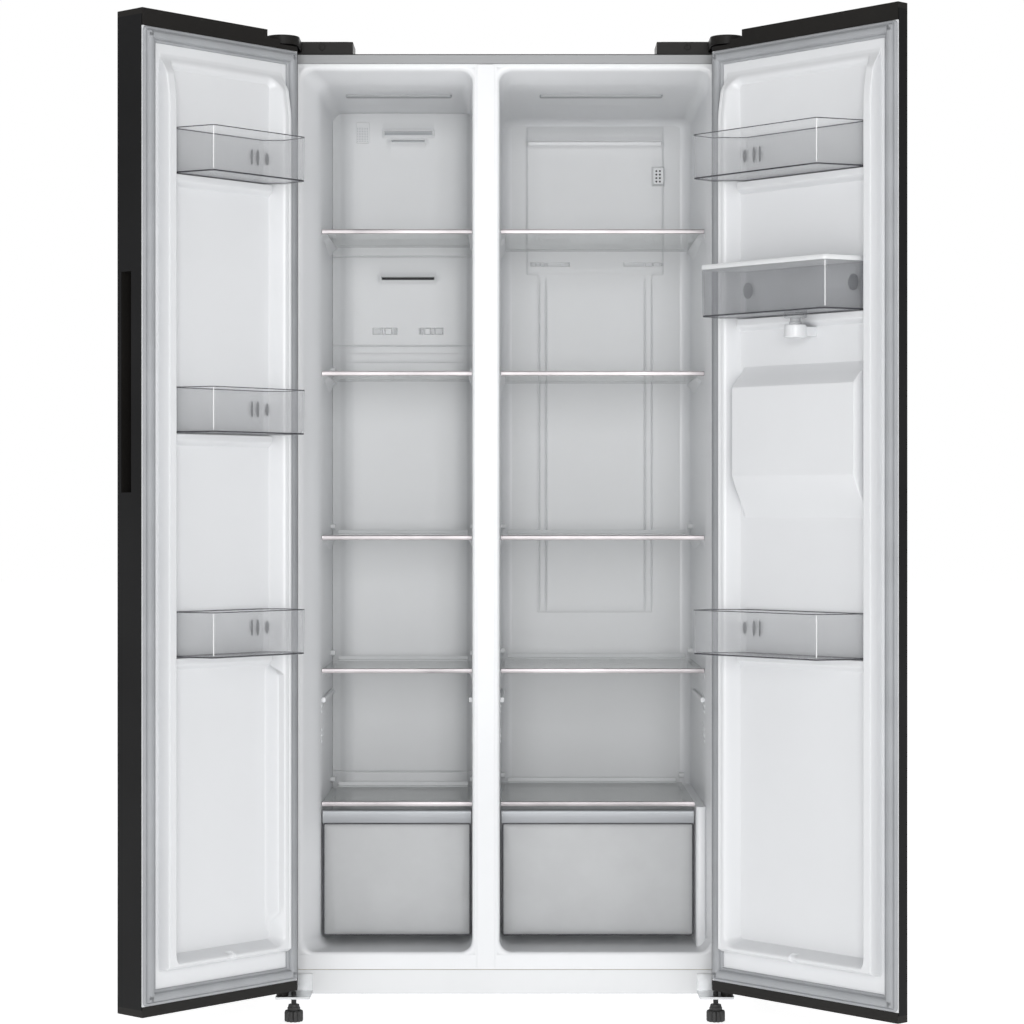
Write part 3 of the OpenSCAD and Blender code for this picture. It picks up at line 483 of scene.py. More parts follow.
def liner(name, node):
    """A compartment through its rings, drawn together in the middle of its back, 2.2 mm thick."""
    points = np.stack([np.insert(fillet(rectangle(*sides), radius, 7), 1, y, axis=1)
                       for *sides, radius, y in liner_rings(name)])
    middle = np.broadcast_to(points[-1].mean(0), points[-1:].shape)
    piece = grid_object(name, np.concatenate([points, middle]) * MM, liner_white, round_columns=True,
                        flip=True)
    wall = piece.modifiers.new("wall", "SOLIDIFY")
    wall.thickness, wall.offset = 2.2 * MM, -1
    return settle(piece, "cabinet", node, slot="liner_white")


for comp in ("freezer", "fridge"):
    print(liner(comp + "_inside", comp + "_liner").name, "has", len(liner_rings(comp + "_inside")), "rings")

# %% [markdown]
# ## The front frame
# Round both mouths the liner shows as a flat white frame, with a strip of metal above it. The frame
# has two openings, and cutting them out of a plate would leave long thin faces. Five flat bars that
# meet edge to edge are simpler, with the divider's raised strip and the plinth as bars of their own.

# %% Front frame
def front_bar(name, x, z, depth, material, radius=1.2, edge=0.5):
    """A flat bar on the cabinet's front, from depth[0] to depth[1] in front of the front plane."""
    outline, thick = fillet(rectangle(*x, *z), radius), depth[1] - depth[0]
    levels = [(0, 0), (0, 0.7 * thick), (edge, thick)]
    return closed_stack(name, outline, levels, material, upright(front_y - depth[0], -1))


frame_x = (shell_low[0] + 12.5, shell_high[0] - 12.5)
rail_z = box("front_rails")[1][2]
plinth_low, plinth_high = box("plinth")
seam_z = plinth_high[2]
mouth = {"freezer": (inner["freezer_inside"][0] - 34, inner["freezer_inside"][1] + 5.5),
         "fridge": (inner["fridge_inside"][0] - 5.5, inner["fridge_inside"][1] + 10)}
top_of_mouth = ceiling_z + 26
white_top = rail_z - 17.2
between = (floor_z - 4.6, top_of_mouth - 0.4)
for name, x, z in (
        ("frame_left", (frame_x[0], mouth["freezer"][0] + 0.4), between),
        ("frame_right", (mouth["fridge"][1] - 0.4, frame_x[1]), between),
        ("frame_over", frame_x, (between[1], white_top)),
        ("frame_under", frame_x, (seam_z + 0.4, between[0])),
        ("frame_divider", (mouth["freezer"][1] - 0.4, mouth["fridge"][0] + 0.4), between)):
    piece = front_bar(name, x, z, (-2.0, 0.0), liner_white, 0.02, 0.02)
    settle(piece, "cabinet", slot="liner_white")
middle = (mouth["freezer"][1] + mouth["fridge"][0]) / 2
rail = front_bar("rail_over_mouth", frame_x, (white_top + 0.3, rail_z), (-2.3, 0.2), rail_steel)
settle(rail, "cabinet", "front_rails", slot="bright_rail")
strip = front_bar("divider_strip", (middle - 16.5, middle + 16.5), (seam_z + 1, white_top - 0.6),
                  (-0.2, 1.5), liner_white, 2.5)
settle(strip, "cabinet", slot="bright_rail")
kick = front_bar("plinth_cover", frame_x, (plinth_low[2] + 0.2, seam_z - 0.4), (-2.3, 0.1), cover_white)
settle(kick, "cabinet", "plinth", slot="cover_white")
print("frame between", np.round(frame_x, 1), "mm, seam at", round(float(seam_z), 1))

# %% [markdown]
# ## Walls behind the food
# The covers at the back are moulded panels: slots, a raised rim, louvres, grooves. Cutting each one
# out would leave hard edges all round. A relief is softer and simpler: the panel is a grid over x and
# z, and its depth is a sum of pads, each with a round edge of its own width.

# %% A relief on a wall
def relief(name, x, z, marks_x, marks_z, height, material, place, coarse=14.0):
    """A panel: its face is the height function over a grid, and its rim folds back to -3 mm.

    The faces point to where the height grows, whichever way place turns the grid.
    """
    gx, gz = lines(*x, marks_x, coarse), lines(*z, marks_z, coarse)
    a, b = np.meshgrid(gx, gz, indexing="ij")
    face = np.stack([a, b, height(a, b)], -1)
    face = np.pad(face, ((1, 1), (1, 1), (0, 0)), mode="edge")
    for edge in (face[0], face[-1], face[:, 0], face[:, -1]):
        edge[..., 2] = -3.0
    placed, above = place(face), place(face + [0, 0, 1])
    across, along = placed[1:, :-1] - placed[:-1, :-1], placed[:-1, 1:] - placed[:-1, :-1]
    inwards = (np.cross(across, along) * (above - placed)[:-1, :-1]).sum() < 0
    piece = grid_object(name, placed * MM, material, flip=inwards)
    return sharpen(piece, 50)


def slot_marks(*slots):
    """The x marks and the z marks of boxes given as (x0, x1, z0, z1)."""
    slots = np.array(slots)
    return slots[:, :2].ravel(), slots[:, 2:].ravel()


def on_wall(y):
    """Relief coordinates x, z, height become x, y, z on a wall whose face looks forwards."""
    return lambda p: np.stack([p[..., 0], y - p[..., 2], p[..., 1]], -1)


cover_low, cover_high = box("freezer_rear_cover")
cx = (cover_low[0] + cover_high[0]) / 2
shelf_tops = [box("freezer_shelf_%d" % k)[1][2] - 10 for k in range(1, 6)]
upper_z, lower_z = shelf_tops[0] - 20, shelf_tops[1] + 67
slots = [(cx - 38, cx + 57, ceiling_z - 44, ceiling_z - 36),
         (cx - 24, cx + 42, ceiling_z - 58, ceiling_z - 53),
         (cx - 44, cx + 61, upper_z - 47, upper_z - 40)]
vents = [(cx - 61 + dx, cx - 12 + dx, lower_z + 22, lower_z + 36) for dx in (0, 91)]
grooves = [upper_z, lower_z, shelf_tops[4] + 28]


def rimmed_slot(a, b, slot, rim, depth):
    """A slot (x0, x1, z0, z1) sunk by depth, in a soft rim that stands proud round it."""
    x0, x1, z0, z1 = slot
    proud = rim * pad(a, b, (x0 - 5, x1 + 5), (z0 - 5, z1 + 5), even(4))
    return proud - depth * pad(a, b, (x0, x1), (z0, z1), even(1.5))


def freezer_back(a, b):
    """The cover stands 14 mm proud between soft side bands, with rims, slots, louvres and grooves."""
    h = 14 * smooth(rise(a, (cover_low[0] + 6, cover_high[0] - 4), (30, 18))) - 14
    for slot in slots:
        h += rimmed_slot(a, b, slot, 2.5, 8)
    for x0, x1, z0, z1 in vents:
        ribs = 0.5 + 0.5 * np.cos((a - x0) * 2 * np.pi / 7)
        h -= 5 * pad(a, b, (x0, x1), (z0, z1), even(2)) * smooth(1.6 * ribs)
    for g in grooves:
        h -= 2.2 * smooth(1 - np.abs(b - g) / 2.2)
    h -= 1.2 * pad(a, b, (cover_low[0] + 30, cover_high[0] - 20), (lower_z - 34, lower_z - 13), even(3))
    return h


mx, mz = slot_marks(*slots, *vents)
extra = np.concatenate([np.arange(v[0], v[1], 1.75) for v in vents])
cover = relief("freezer_back_wall", (cover_low[0], cover_high[0]), (cover_low[2], cover_high[2]),
               np.concatenate([mx, [cover_low[0] + 20, cover_high[0] - 12]]),
               np.concatenate([mz, grooves, [lower_z - 34, lower_z - 13]]), freezer_back, cover_white,
               on_wall(cover_low[1] - 1))
settle(cover, "cabinet", "freezer_rear_cover", slot="cover_white")
for k, (x0, x1, z0, z1) in enumerate(slots):
    section = rectangle(cover_low[1] + 3.2, cover_low[1] + 4.4, z0 + 1, z1 - 1)
    dark = bar("freezer_slot_%d" % (k + 1), section, (x0 + 1, x1 - 1),
               shadow_black if k == 2 else trim_grey, as_is)
    settle(dark, "cabinet", slot="black_plastic")
print("freezer cover:", len(cover.data.polygons), "faces,", len(slots), "slots,", len(vents), "louvres")

# %% Sensor grille of the freezer
def dots(name, x, z, y, pitch, radius, material):
    """A field of small domes: every dome is one fan of eight points round a raised middle."""
    gx, gz = np.meshgrid(np.arange(*x, pitch), np.arange(*z, pitch), indexing="ij")
    turn = np.linspace(0, 2 * np.pi, 9)[:-1]
    ring = np.stack([radius * np.cos(turn), np.zeros(8), radius * np.sin(turn)], 1)
    dome = np.concatenate([ring, [[0, -0.8, 0]]])
    centres = np.stack([gx.ravel(), np.full(gx.size, y), gz.ravel()], 1)
    points = (centres[:, None] + dome).reshape(-1, 3)
    fan = np.array([[8, k, (k + 1) % 8] for k in range(8)])
    faces = (np.arange(gx.size)[:, None, None] * 9 + fan).reshape(-1, 3)
    return settle(make_object(name, points * MM, faces, material), "cabinet", slot="black_plastic")


grille_x = (cover_low[0] + 50, cover_low[0] + 70)
plate_plan = fillet(rectangle(grille_x[0] - 3, grille_x[1] + 3, ceiling_z - 60, ceiling_z - 18), 3)
plate = closed_stack("sensor_plate", plate_plan, [(0, 0), (0, 2), (1, 3)], cover_white,
                     upright(cover_low[1] - 1, -1))
settle(plate, "cabinet", slot="cover_white")
dots("sensor_dots", grille_x, (ceiling_z - 56, ceiling_z - 30), cover_low[1] - 4.2, 3.2, 0.9, trim_grey)
print("sensor grille at x", np.round(grille_x, 1))

# %% [markdown]
# ### The fridge's air duct
# Behind the fridge shelves a flat duct carries cold air up: a wide head with a long slot, and a long
# narrower channel with two pairs of upright grooves. It is one relief again, wider than the duct, so
# that the wall beside the duct and the duct itself are one skin.

# %% Air duct
duct_low = box("fridge_duct_cover")[0]
dx = (inner["fridge_inside"][0] + inner["fridge_inside"][1]) / 2
neck_z = shelf_tops[0] - 50
duct_slot = (dx - 136, dx + 132, ceiling_z - 52, ceiling_z - 44)
duct_vents = [(dx - 132, dx - 52, shelf_tops[0] - 32, shelf_tops[0] - 24),
              (dx + 54, dx + 134, shelf_tops[0] - 32, shelf_tops[0] - 24)]
stripes = [dx - 114, dx - 100, dx + 98, dx + 112]


def duct_face(a, b):
    """A wide head, 2.5 mm proud, and a flatter channel, with grooves and a rimmed slot."""
    h = 2.5 * pad(a, b, (dx - 141, dx + 137), (neck_z, ceiling_z - 14), even(6))
    h = np.maximum(h, 1.0 * pad(a, b, (dx - 119, dx + 115), (duct_low[2], neck_z + 10), even(5)))
    h += rimmed_slot(a, b, duct_slot, 2, 7)
    for x0, x1, z0, z1 in duct_vents:
        h -= 6 * pad(a, b, (x0, x1), (z0, z1), even(1.5)) * smooth(1 + np.cos((a - x0) * 2 * np.pi / 8))
    for s in stripes:
        h -= 2.6 * smooth(1 - np.abs(a - s) / 2.6) * smooth(rise(b, (duct_low[2] + 6, neck_z - 14), (8, 8)))
    return h + 2.4 * pad(a, b, (dx + 110, dx + 138), (ceiling_z - 135, ceiling_z - 94), even(4))


mx, mz = slot_marks(duct_slot, *duct_vents)
wall_x = (inner["fridge_inside"][0] + 22, inner["fridge_inside"][1] - 22)
duct = relief("fridge_air_duct", wall_x, (step_z + 24, ceiling_z - 4),
              np.concatenate([mx, stripes, [dx - 141, dx + 137, dx - 119, dx + 115]]),
              np.concatenate([mz, [neck_z, duct_low[2], ceiling_z - 14, ceiling_z - 94, ceiling_z - 135]]),
              duct_face, cover_white, on_wall(back_y - 1.5))
settle(duct, "cabinet", "fridge_duct_cover", slot="cover_white")
print("air duct:", len(duct.data.polygons), "faces")

# %% Ceiling lights
low, high = box("light_covers")
for name, x, nodes in (("freezer_light", (low[0], low[0] + 199), ["light_covers"]),
                       ("fridge_light", (high[0] - 231, high[0]), [])):
    levels = [(0, high[2]), (0, low[2] + 1.5), (0.6, low[2] + 0.4), (2, low[2])]
    lens = closed_stack(name, fillet(rectangle(*x, low[1], high[1]), 5), levels, light_white, as_is)
    settle(lens, "cabinet", *nodes, slot="light_white")
print("lights at z", round(float(low[2]), 1))

# %% [markdown]
# ## The doors' inner liners
# A door's liner is drawn over a mould like the cabinet's: a flat flange under the seal, a ridge all
# round, and a shallow recess that the bins hang in. One relief over u and z says it all: the flange,
# plus a pad for the ridge, minus a pad for the recess, plus a ledge under each bin. Each door adds a
# shape of its own: a wider ridge on the freezer's, and the swelling over the dispenser on the fridge's.

# %% What the doors' liners have to meet
tank_low, tank_high = right.box("water_tank")
lid_low, lid_high = right.box("tank_lid")
floor_of_tank = lid_low[2] - 83.3
niche_low, niche_high = right.box("dispenser_niche")
low_bin = left.box("left_bin_3")[0][2]
print("tank floor at", round(float(floor_of_tank), 1), "mm, lowest freezer bin at", round(float(low_bin), 1))

# %% Door liner
def door_liner(door, extra, marks_u, marks_z):
    """The relief v(u, z): flange, ridge, recess, ledges and drain notch, and what extra adds to it."""
    low, high = door.box(door.body + "_liner")
    w, flange = high[0], door.box(door.body + "_gasket")[0][1]
    ridge_u, ridge_z = (40, w - 35), (low[2] + 56, high[2] - 41)
    recess_u, recess_z = (56, w - 53), (ridge_z[0] + 12, ridge_z[1] - 10)
    drain = (ridge_u[0] + ridge_u[1]) / 2
    floors = [door.box(n)[0][2] for n in frame["nodes"] if n.startswith(door.side + "_bin")]
    if door is right:
        floors.append(floor_of_tank)

    def height(u, z):
        ridge = pad(u, z, ridge_u, ridge_z, (4, 4, 5, 40))
        h = 70 - flange - 8 * smooth((z - ridge_z[1] + 90) / 70)
        h = h * ridge - 1.2 * smooth(1 - np.abs(u - 49.5) / 2.0) * ridge
        hollow = pad(u, z, recess_u, recess_z, (24, 9, 20, 26))
        h -= (h - (38 - flange)) * hollow
        for z0 in floors:
            z1 = z0 - 0.4
            h += 20 * pad(u, z, (70, w - 57), (z1 - 26, z1), (10, 3, 15, 1.2)) * (hollow > 0.02)
        h -= 5 * pad(u, z, (drain - 9, drain + 9), (ridge_z[0] - 1, recess_z[0] + 8), even(3))
        return np.maximum(extra(u, z, w, flange, h), -8)

    marks_z = [*marks_z, *ridge_z] + [z0 - d for z0 in floors for d in (0.4, 1.6, 11, 19, 26)]
    marks_z += [recess_z[0] + d for d in (0, 8, 16, 24)] + [recess_z[1] - d for d in (0, 8, 16, 24, 32)]
    marks_u = [*marks_u, 41, 43, 49.5, 56, 62, 68, 74, 80, w - 35, w - 38, w - 53, w - 58, w - 62]
    piece = relief(door.body + "_liner_skin", (low[0] + 0.5, w - 0.4), (low[2] + 0.3, high[2] - 0.3),
                   marks_u + [drain - 9, drain + 9], marks_z, height, door_white,
                   lambda p: door.lying(p + [0, 0, flange - 0.4]), coarse=16.0)
    return settle(piece, door.body, door.body + "_liner", slot="liner_white")


def left_shape(u, z, w, flange, h):
    """Below the lowest bin the hinge side's ridge is wider, with a curved start."""
    wide = pad(u, z, (40, 84), (low_bin - 480, low_bin - 18), (3, 12, 20, 22))
    return np.maximum(h, (68 - flange) * wide * (u < 84))


def right_shape(u, z, w, flange, h):
    """The liner swells over the dispenser's niche: a bevel above, a face, a longer slope below."""
    swell = np.clip(rise(u, (80, w - 60), (7, 7)), 0, 1)
    up = np.clip(rise(z, (niche_low[2] - 34, niche_high[2] + 28), (74, 38)), 0, 1)
    face = (79.5 - flange) * smooth(np.minimum(swell, 1)) * (0.35 * smooth(up) + 0.65 * up)
    return np.maximum(h, face)


skins = [door_liner(left, left_shape, (72, 78, 84), (low_bin - 18, low_bin - 30, low_bin - 40)),
         door_liner(right, right_shape, (84, 87, right.box("right_door_liner")[1][0] - 64),
                    [niche_low[2] + d for d in (-34, 3, 40)] + [niche_high[2] + d for d in (-10, 9, 28)])]
print({skin.name: len(skin.data.polygons) for skin in skins}, "faces")

# %% [markdown]
# ## The seals
# A magnetic seal is one extruded rubber profile, mitred at the corners: a flat foot, a fold that lets
# it move, and a fat tube with the magnet in it. The profile is walked round a rounded rectangle.

# %% Door seal
def seal(door):
    """The profile (inset, height) carried round the door, from its outer edge inwards."""
    low, high = door.box(door.body + "_gasket")
    path = fillet(rectangle(low[0], high[0], low[2], high[2]), 7, 8)
    profile = [(0, 0), (0, 2.2), (1.2, 3.4), (4.2, 3.8), (5.0, 2.6), (6.0, 2.6), (6.6, 5.4), (8.4, 8.2),
               (11.5, 9.4), (16.5, 9.4), (19.0, 8.0), (20.2, 5.2), (20.8, 3.0), (21.8, 3.0), (22.6, 4.0),
               (25.0, 3.4), (26.0, 1.8), (26.0, 0)]
    rings = stack(path, [(t, low[1] + h) for t, h in profile])
    piece = grid_object(door.body + "_seal", door.lying(rings) * MM, seal_grey, round_rows=True,
                        round_columns=True)
    sharpen(outward(piece), 55)
    return settle(piece, door.body, door.body + "_gasket", slot="gasket_grey")


for door in (left, right):
    print(seal(door).name, "done")

# %% [markdown]
# ## Turned pieces
# Valve, screws and the painted highlight in a bin's corner are round about an axis. A profile of
# (radius, height) is carried round it, which is what a lathe does. Spin would do it too, but leaves a
# seam to merge.

# %% A turned piece
def turned(name, centre, profile, material, place, steps=48):
    """A closed turned piece: profile (radius, height) round an upright axis at centre."""
    t = np.linspace(0, 2 * np.pi, steps + 1)[:-1]
    r, h = np.array(profile, float).T
    points = np.stack([centre[0] + r[:, None] * np.cos(t), centre[1] + r[:, None] * np.sin(t),
                       np.repeat(h[:, None], steps, 1)], -1)
    return sharpen(outward(grid_object(name, place(points) * MM, material, round_columns=True)))


print("the steps of a turned piece are", round(360 / 48, 1), "degrees wide")

# %% [markdown]
# ## Clear bins
# Clear plastic only looks clear if it has two surfaces. Each bin is one closed skin: out from the
# middle of its floor, up the outside, over a rounded rim and down the inside. A real wall also turns
# dark where it is seen along its edge, and gathers light in a fold. Both are painted here: thin dark
# beads along the rim and the foot are painted shade, and a bright line in the slanted corner is a
# painted highlight, at every angle.

# %% Bin
def vessel(z0, z1, wall=2.6, foot=4.0, taper=0.0):
    """The levels of an open vessel: outer floor, outer wall, rim bead, inner wall, inner floor.

    Its wall leans in by taper from the rim down to the floor.
    """
    outside = [(8.5, z0), (foot + 0.5, z0), (2.2, z0 + 1.4), (1.0, z0 + foot + 1), (0.2, z1 - 11)]
    rim = [(0.2, z1 - 9), (0, z1 - 8.2), (0, z1 - 1.0), (0.5, z1), (wall - 0.5, z1), (wall, z1 - 1)]
    inside = [(wall + 0.2, z1 - 9), (wall + 1.0, z0 + foot + 3), (wall + 2.4, z0 + 4),
              (foot + 3.2, z0 + wall), (8.5, z0 + wall)]
    levels = outside + rim + inside
    return [(t + taper * (z1 - z) / (z1 - z0), z) for t, z in levels]


def edge_line(name, plan, inset, z, size, place, body, slot):
    """A thin dark bead of painted shade round a plan, inset from it at height z, size to each side."""
    section = [(-size, z - size), (size, z - size), (size, z + size), (-size, z + size)]
    rings = stack(plan, [(inset + t, h) for t, h in section])
    piece = grid_object(name, place(rings) * MM, edge_shade_paint, round_rows=True, round_columns=True)
    return settle(outward(piece), body, slot=slot)


def clear_plan(low, high, slant):
    """The plan of a bin or tank in u and v: it steps over the ridge and slants in at the free end."""
    corners = [(88, low[1]), (high[0], low[1]), (high[0], low[1] + 16), (high[0] - slant, high[1]),
               (low[0], high[1]), (low[0], 84), (64, 74)]
    return fillet(corners, (9, 9, 9, 9.5, 9.5, 9, 9), 6)


def fold(name, door, corner, z, node, slot):
    """A painted highlight: the bright line in a slanted corner, where the wall's fold gathers the light."""
    at = (corner[0] - 0.8, corner[1] - 1.6)
    profile = [(0, z[0]), (1.2, z[0]), (1.2, z[1]), (0, z[1])]
    return settle(turned(name + "_fold", at, profile, fold_highlight_paint, door.place, 12), node, slot=slot)


def clear_bin_on(door, k, slant):
    """A door's bin as one closed clear skin, with its rim, foot and fold."""
    node, name = "%s_bin_%d" % (door.side, k), "%s_clear_bin_%d" % (door.side, k)
    low, high = door.box(node)
    plan = clear_plan(low, high, slant)
    piece = closed_stack(name, plan, vessel(low[2], high[2]), clear_bin, door.place)
    # Painted shade: dark beads along the rim and the foot.
    edge_line(name + "_rim", plan, 0.9, high[2] - 1.0, 0.7, door.place, node, "clear_bin")
    edge_line(name + "_foot", plan, 2.4, low[2] + 1.8, 1.1, door.place, node, "clear_bin")
    # Painted highlight: the bright line in the slanted corner.
    fold(name, door, (high[0] - slant, high[1]), (low[2] + 5, high[2] - 3), node, "clear_bin")
    return settle(piece, node, node, slot="clear_bin")


bins = [clear_bin_on(left, k, 20) for k in (1, 2, 3)] + [clear_bin_on(right, k, 32) for k in (1, 2)]
print(len(bins), "bins")

# %% Clips in the bins
def oval(name, door, at, size, material, body, slot):
    """A small oval button at (u, z, v), standing on a wall that faces out of the door."""
    u, z, v = at
    t = np.linspace(0, 2 * np.pi, 25)[:-1]
    ring = np.stack([u + size[0] * np.cos(t), z + size[1] * np.sin(t)], 1)
    piece = closed_stack(name, ring, [(0, v), (0, v + 1.2), (0.6, v + 2), (1.6, v + 2), (2, v + 1.2)],
                         material, door.lying)
    return settle(piece, body, slot=slot)


clips = ((82, (4, 11)), (104, (3, 14)), (118, (2.2, 14)))
for door, count, further in ((left, 3, 0), (right, 2, 6)):
    for k in range(1, count + 1):
        node = "%s_bin_%d" % (door.side, k)
        low, high = door.box(node)
        for n, (u, size) in enumerate(clips):
            at = (u + further, (low[2] + high[2]) / 2 + 6, low[1] + 3.0)
            oval("%s_clip_%d" % (node, n + 1), door, at, size, clear_bin, node, "clear_bin")
print(len(clips), "clips in each bin")

# %% [markdown]
# ## The water tank
# The tank hangs above the swelling, with a white lid on it and a valve under it that plugs into a
# socket on the liner. Lid and socket are stacked outlines; the valve is turned, so its profile is
# carried round an axis.

# %% Tank and lid
slant, z0, z1 = 18, lid_low[2], lid_high[2]
plan = clear_plan(tank_low, tank_high, slant)
tank = closed_stack("clear_tank", plan, vessel(floor_of_tank, z0 - 0.3), clear_tank, right.place)
settle(tank, "water_tank", "water_tank", slot="clear_tank")
# Painted shade: a dark bead along the tank's foot.
edge_line("tank_foot", plan, 2.4, floor_of_tank + 1.8, 1.1, right.place, "water_tank", "clear_tank")
# Painted highlight: the bright line in the tank's slanted corner.
fold("tank", right, (tank_high[0] - slant, tank_high[1]), (floor_of_tank + 5, z0 - 2), "water_tank",
     "clear_tank")
t = -1.2
levels = [(3, z0), (t + 0.3, z0), (t, z0 + 1), (t, z1 - 2.2), (t + 0.8, z1 - 1), (t + 2.6, z1 - 0.6),
          (t + 4, z1 - 2), (t + 6, z1 - 2.2)]
lid = closed_stack("tank_cover", plan, levels, cover_white, right.place)
settle(lid, "tank_lid", "tank_lid", slot="cover_white")
flap_u = (tank_low[0] + tank_high[0]) / 2 + 18
flap_plan = fillet(rectangle(flap_u - 22, flap_u + 22, tank_high[1] - 34, tank_high[1] - 4), 5)
levels = [(0, z1 - 2.4), (0, z1 - 0.4), (1, z1), (3, z1), (5, z1 - 0.5)]
settle(closed_stack("tank_flap", flap_plan, levels, cover_white, right.place), "tank_lid", slot="cover_white")
print("the lid is", round(float(z1 - z0), 1), "mm thick")

# %% Valve and socket
valve, t = (238, 82), floor_of_tank
outlet = [(0, t - 24), (9.5, t - 24), (11, t - 22.5), (11, t - 15), (9, t - 14), (9, t - 8.5), (18.5, t - 8),
          (20, t - 6.5), (20, t - 0.4), (0, t - 0.4)]
settle(turned("tank_valve", valve, outlet, clear_tank, right.place), "water_tank", slot="clear_tank")
low, high = t - 42, t - 20
cup = [(14, low + 8), (14, high), (17.5, high), (19, high - 1.5), (20, low + 2), (18, low), (0, low),
       (0, low + 8)]
settle(turned("valve_socket", valve, cup, door_white, right.place), "right_door", slot="liner_white")
arm = bar("socket_arm", fillet(rectangle(39, 74, low + 3, high - 3), 4), (valve[0] - 14, valve[0] + 14),
          door_white, right.place)
settle(arm, "right_door", slot="liner_white")
for n, u in enumerate((96, tank_high[0] - 26)):
    oval("tank_clip_%d" % (n + 1), right, (u, z0 - 34, tank_low[1] + 3.2), (11, 14), clear_tank,
         "water_tank", "clear_tank")
print("the valve ends", round(float(t - 24 - low), 1), "mm above the socket's floor")

# %% [markdown]
# ## Shelves
# A shelf is a plate of float glass in a bright front strip, with a low white rail along its back. The
# strip catches the light, so it has a rounded section instead of four flat sides.

# %% Shelf
def shelf(node):
    """Glass plate, bright front strip and white rear rail in place of the plain CAD shelf."""
    low, high = box(node)
    top = high[2] - 10
    plate = closed_stack(node + "_glass", fillet(rectangle(low[0], high[0], low[1] + 9, high[1] - 1), 3),
                         [(0.4, top - 4), (0, top - 3.6), (0, top - 0.4), (0.4, top)], glass, as_is)
    settle(plate, node, node, slot="shelf_glass")
    y = low[1]
    under = [(y, top - 6.8), (y + 3, top - 7), (y + 12, top - 5), (y + 12, top - 4.1), (y + 8.8, top - 4.1)]
    over = [(y + 8.8, top + 0.2), (y + 12, top + 0.3), (y + 11, top + 1), (y + 3, top + 2), (y, top + 1.2)]
    section = fillet(under + over, (1.2, 1, 0.4, 0.2, 0.1, 0.1, 0.2, 0.4, 1.2, 1.2), 4)
    strip = bar(node + "_strip", section, (low[0], high[0]), bright_strip, as_is)
    settle(strip, node, slot="shelf_glass")
    y = high[1]
    section = fillet([(y - 12, top + 0.1), (y, top + 0.1), (y, top + 9.6), (y - 3, top + 9.6),
                      (y - 4, top + 2.6), (y - 12, top + 2)], (0.3, 0.5, 1.2, 1.2, 1.5, 0.6), 4)
    rail = bar(node + "_rail", section, (low[0] + 12, high[0] - 12), cover_white, as_is)
    settle(rail, node, slot="shelf_glass")
    return top


for comp in ("freezer", "fridge"):
    print(comp, "shelves at", [round(float(shelf("%s_shelf_%d" % (comp, k))), 1) for k in range(1, 6)])

# %% [markdown]
# ## Drawers
# A drawer is a frosted box whose walls lean in, behind a frosted front panel, with a brushed grip along
# the panel's top. Dark beads round the panel's edge and just inside it are painted shade: they stand
# in for the dark look of the plastic's thickness seen along its edges.

# %% Drawer
def drawer(node):
    """A frosted box behind its front panel, with painted shade beads on the panel's edges, the grip and two
    flanges.
    """
    low, high = box(node)
    plan = fillet(rectangle(low[0] + 9, high[0] - 9, low[1] + 12, high[1]), 12, 6)
    levels = vessel(low[2] + 4, high[2] - 26, wall=3.0, foot=12.0, taper=9.0)
    body = closed_stack(node + "_box", plan, levels, frosted, as_is)
    settle(body, node, node, slot="clear_drawer")
    in_front = upright(low[1] + 7, -1)
    edge = fillet(rectangle(low[0] + 0.4, high[0] - 0.4, low[2], high[2] - 24), 5, 6)
    levels = [(4.4, 0), (1.6, 0), (0, 0.8), (0, 5.4), (1.2, 6.2), (4.4, 6.2)]
    panel = closed_stack(node + "_panel", edge, levels, frosted, in_front)
    settle(panel, node, slot="clear_drawer")
    # Painted shade: dark beads on the panel's edge and just inside it.
    for k, (inset, depth, size) in enumerate(((1.6, 5.6, 1.5), (5.6, 5.2, 0.5))):
        edge_line("%s_edge_%d" % (node, k), edge, inset, depth, size, in_front, node, "clear_drawer")
    y, z0, z1 = low[1], high[2] - 25, high[2]
    section = fillet([(y, z0), (y + 4, z0), (y + 5, z0 + 1), (y + 5, z1 - 3), (y + 16, z1 - 3),
                      (y + 16, z1), (y + 2, z1), (y, z1 - 3)], (0.8, 0.6, 0.4, 1.5, 0.6, 0.6, 1.5, 1.5), 4)
    settle(bar(node + "_grip", section, (low[0], high[0]), brushed, as_is), node, slot="clear_drawer")
    for side, x in (("left", low[0] + 5), ("right", high[0] - 5)):
        section = fillet(rectangle(x - 4.6, x + 4.6, high[2] - 29, high[2] - 26), 1, 4)
        flange = bar(node + "_flange_" + side, section, (low[1] + 8, high[1]), frosted, backwards)
        settle(flange, node, slot="clear_drawer")
    return [round(s / MM) for s in body.dimensions]


for comp in ("freezer", "fridge"):
    print(comp, "drawer box", drawer(comp + "_drawer"))

# %% [markdown]
# ## What holds the shelves
# The glass rests on ledges moulded in the side walls, each ending in a curved gusset, with a small
# hook over the rear corner. Between the fixed places there are spare rails for another height.

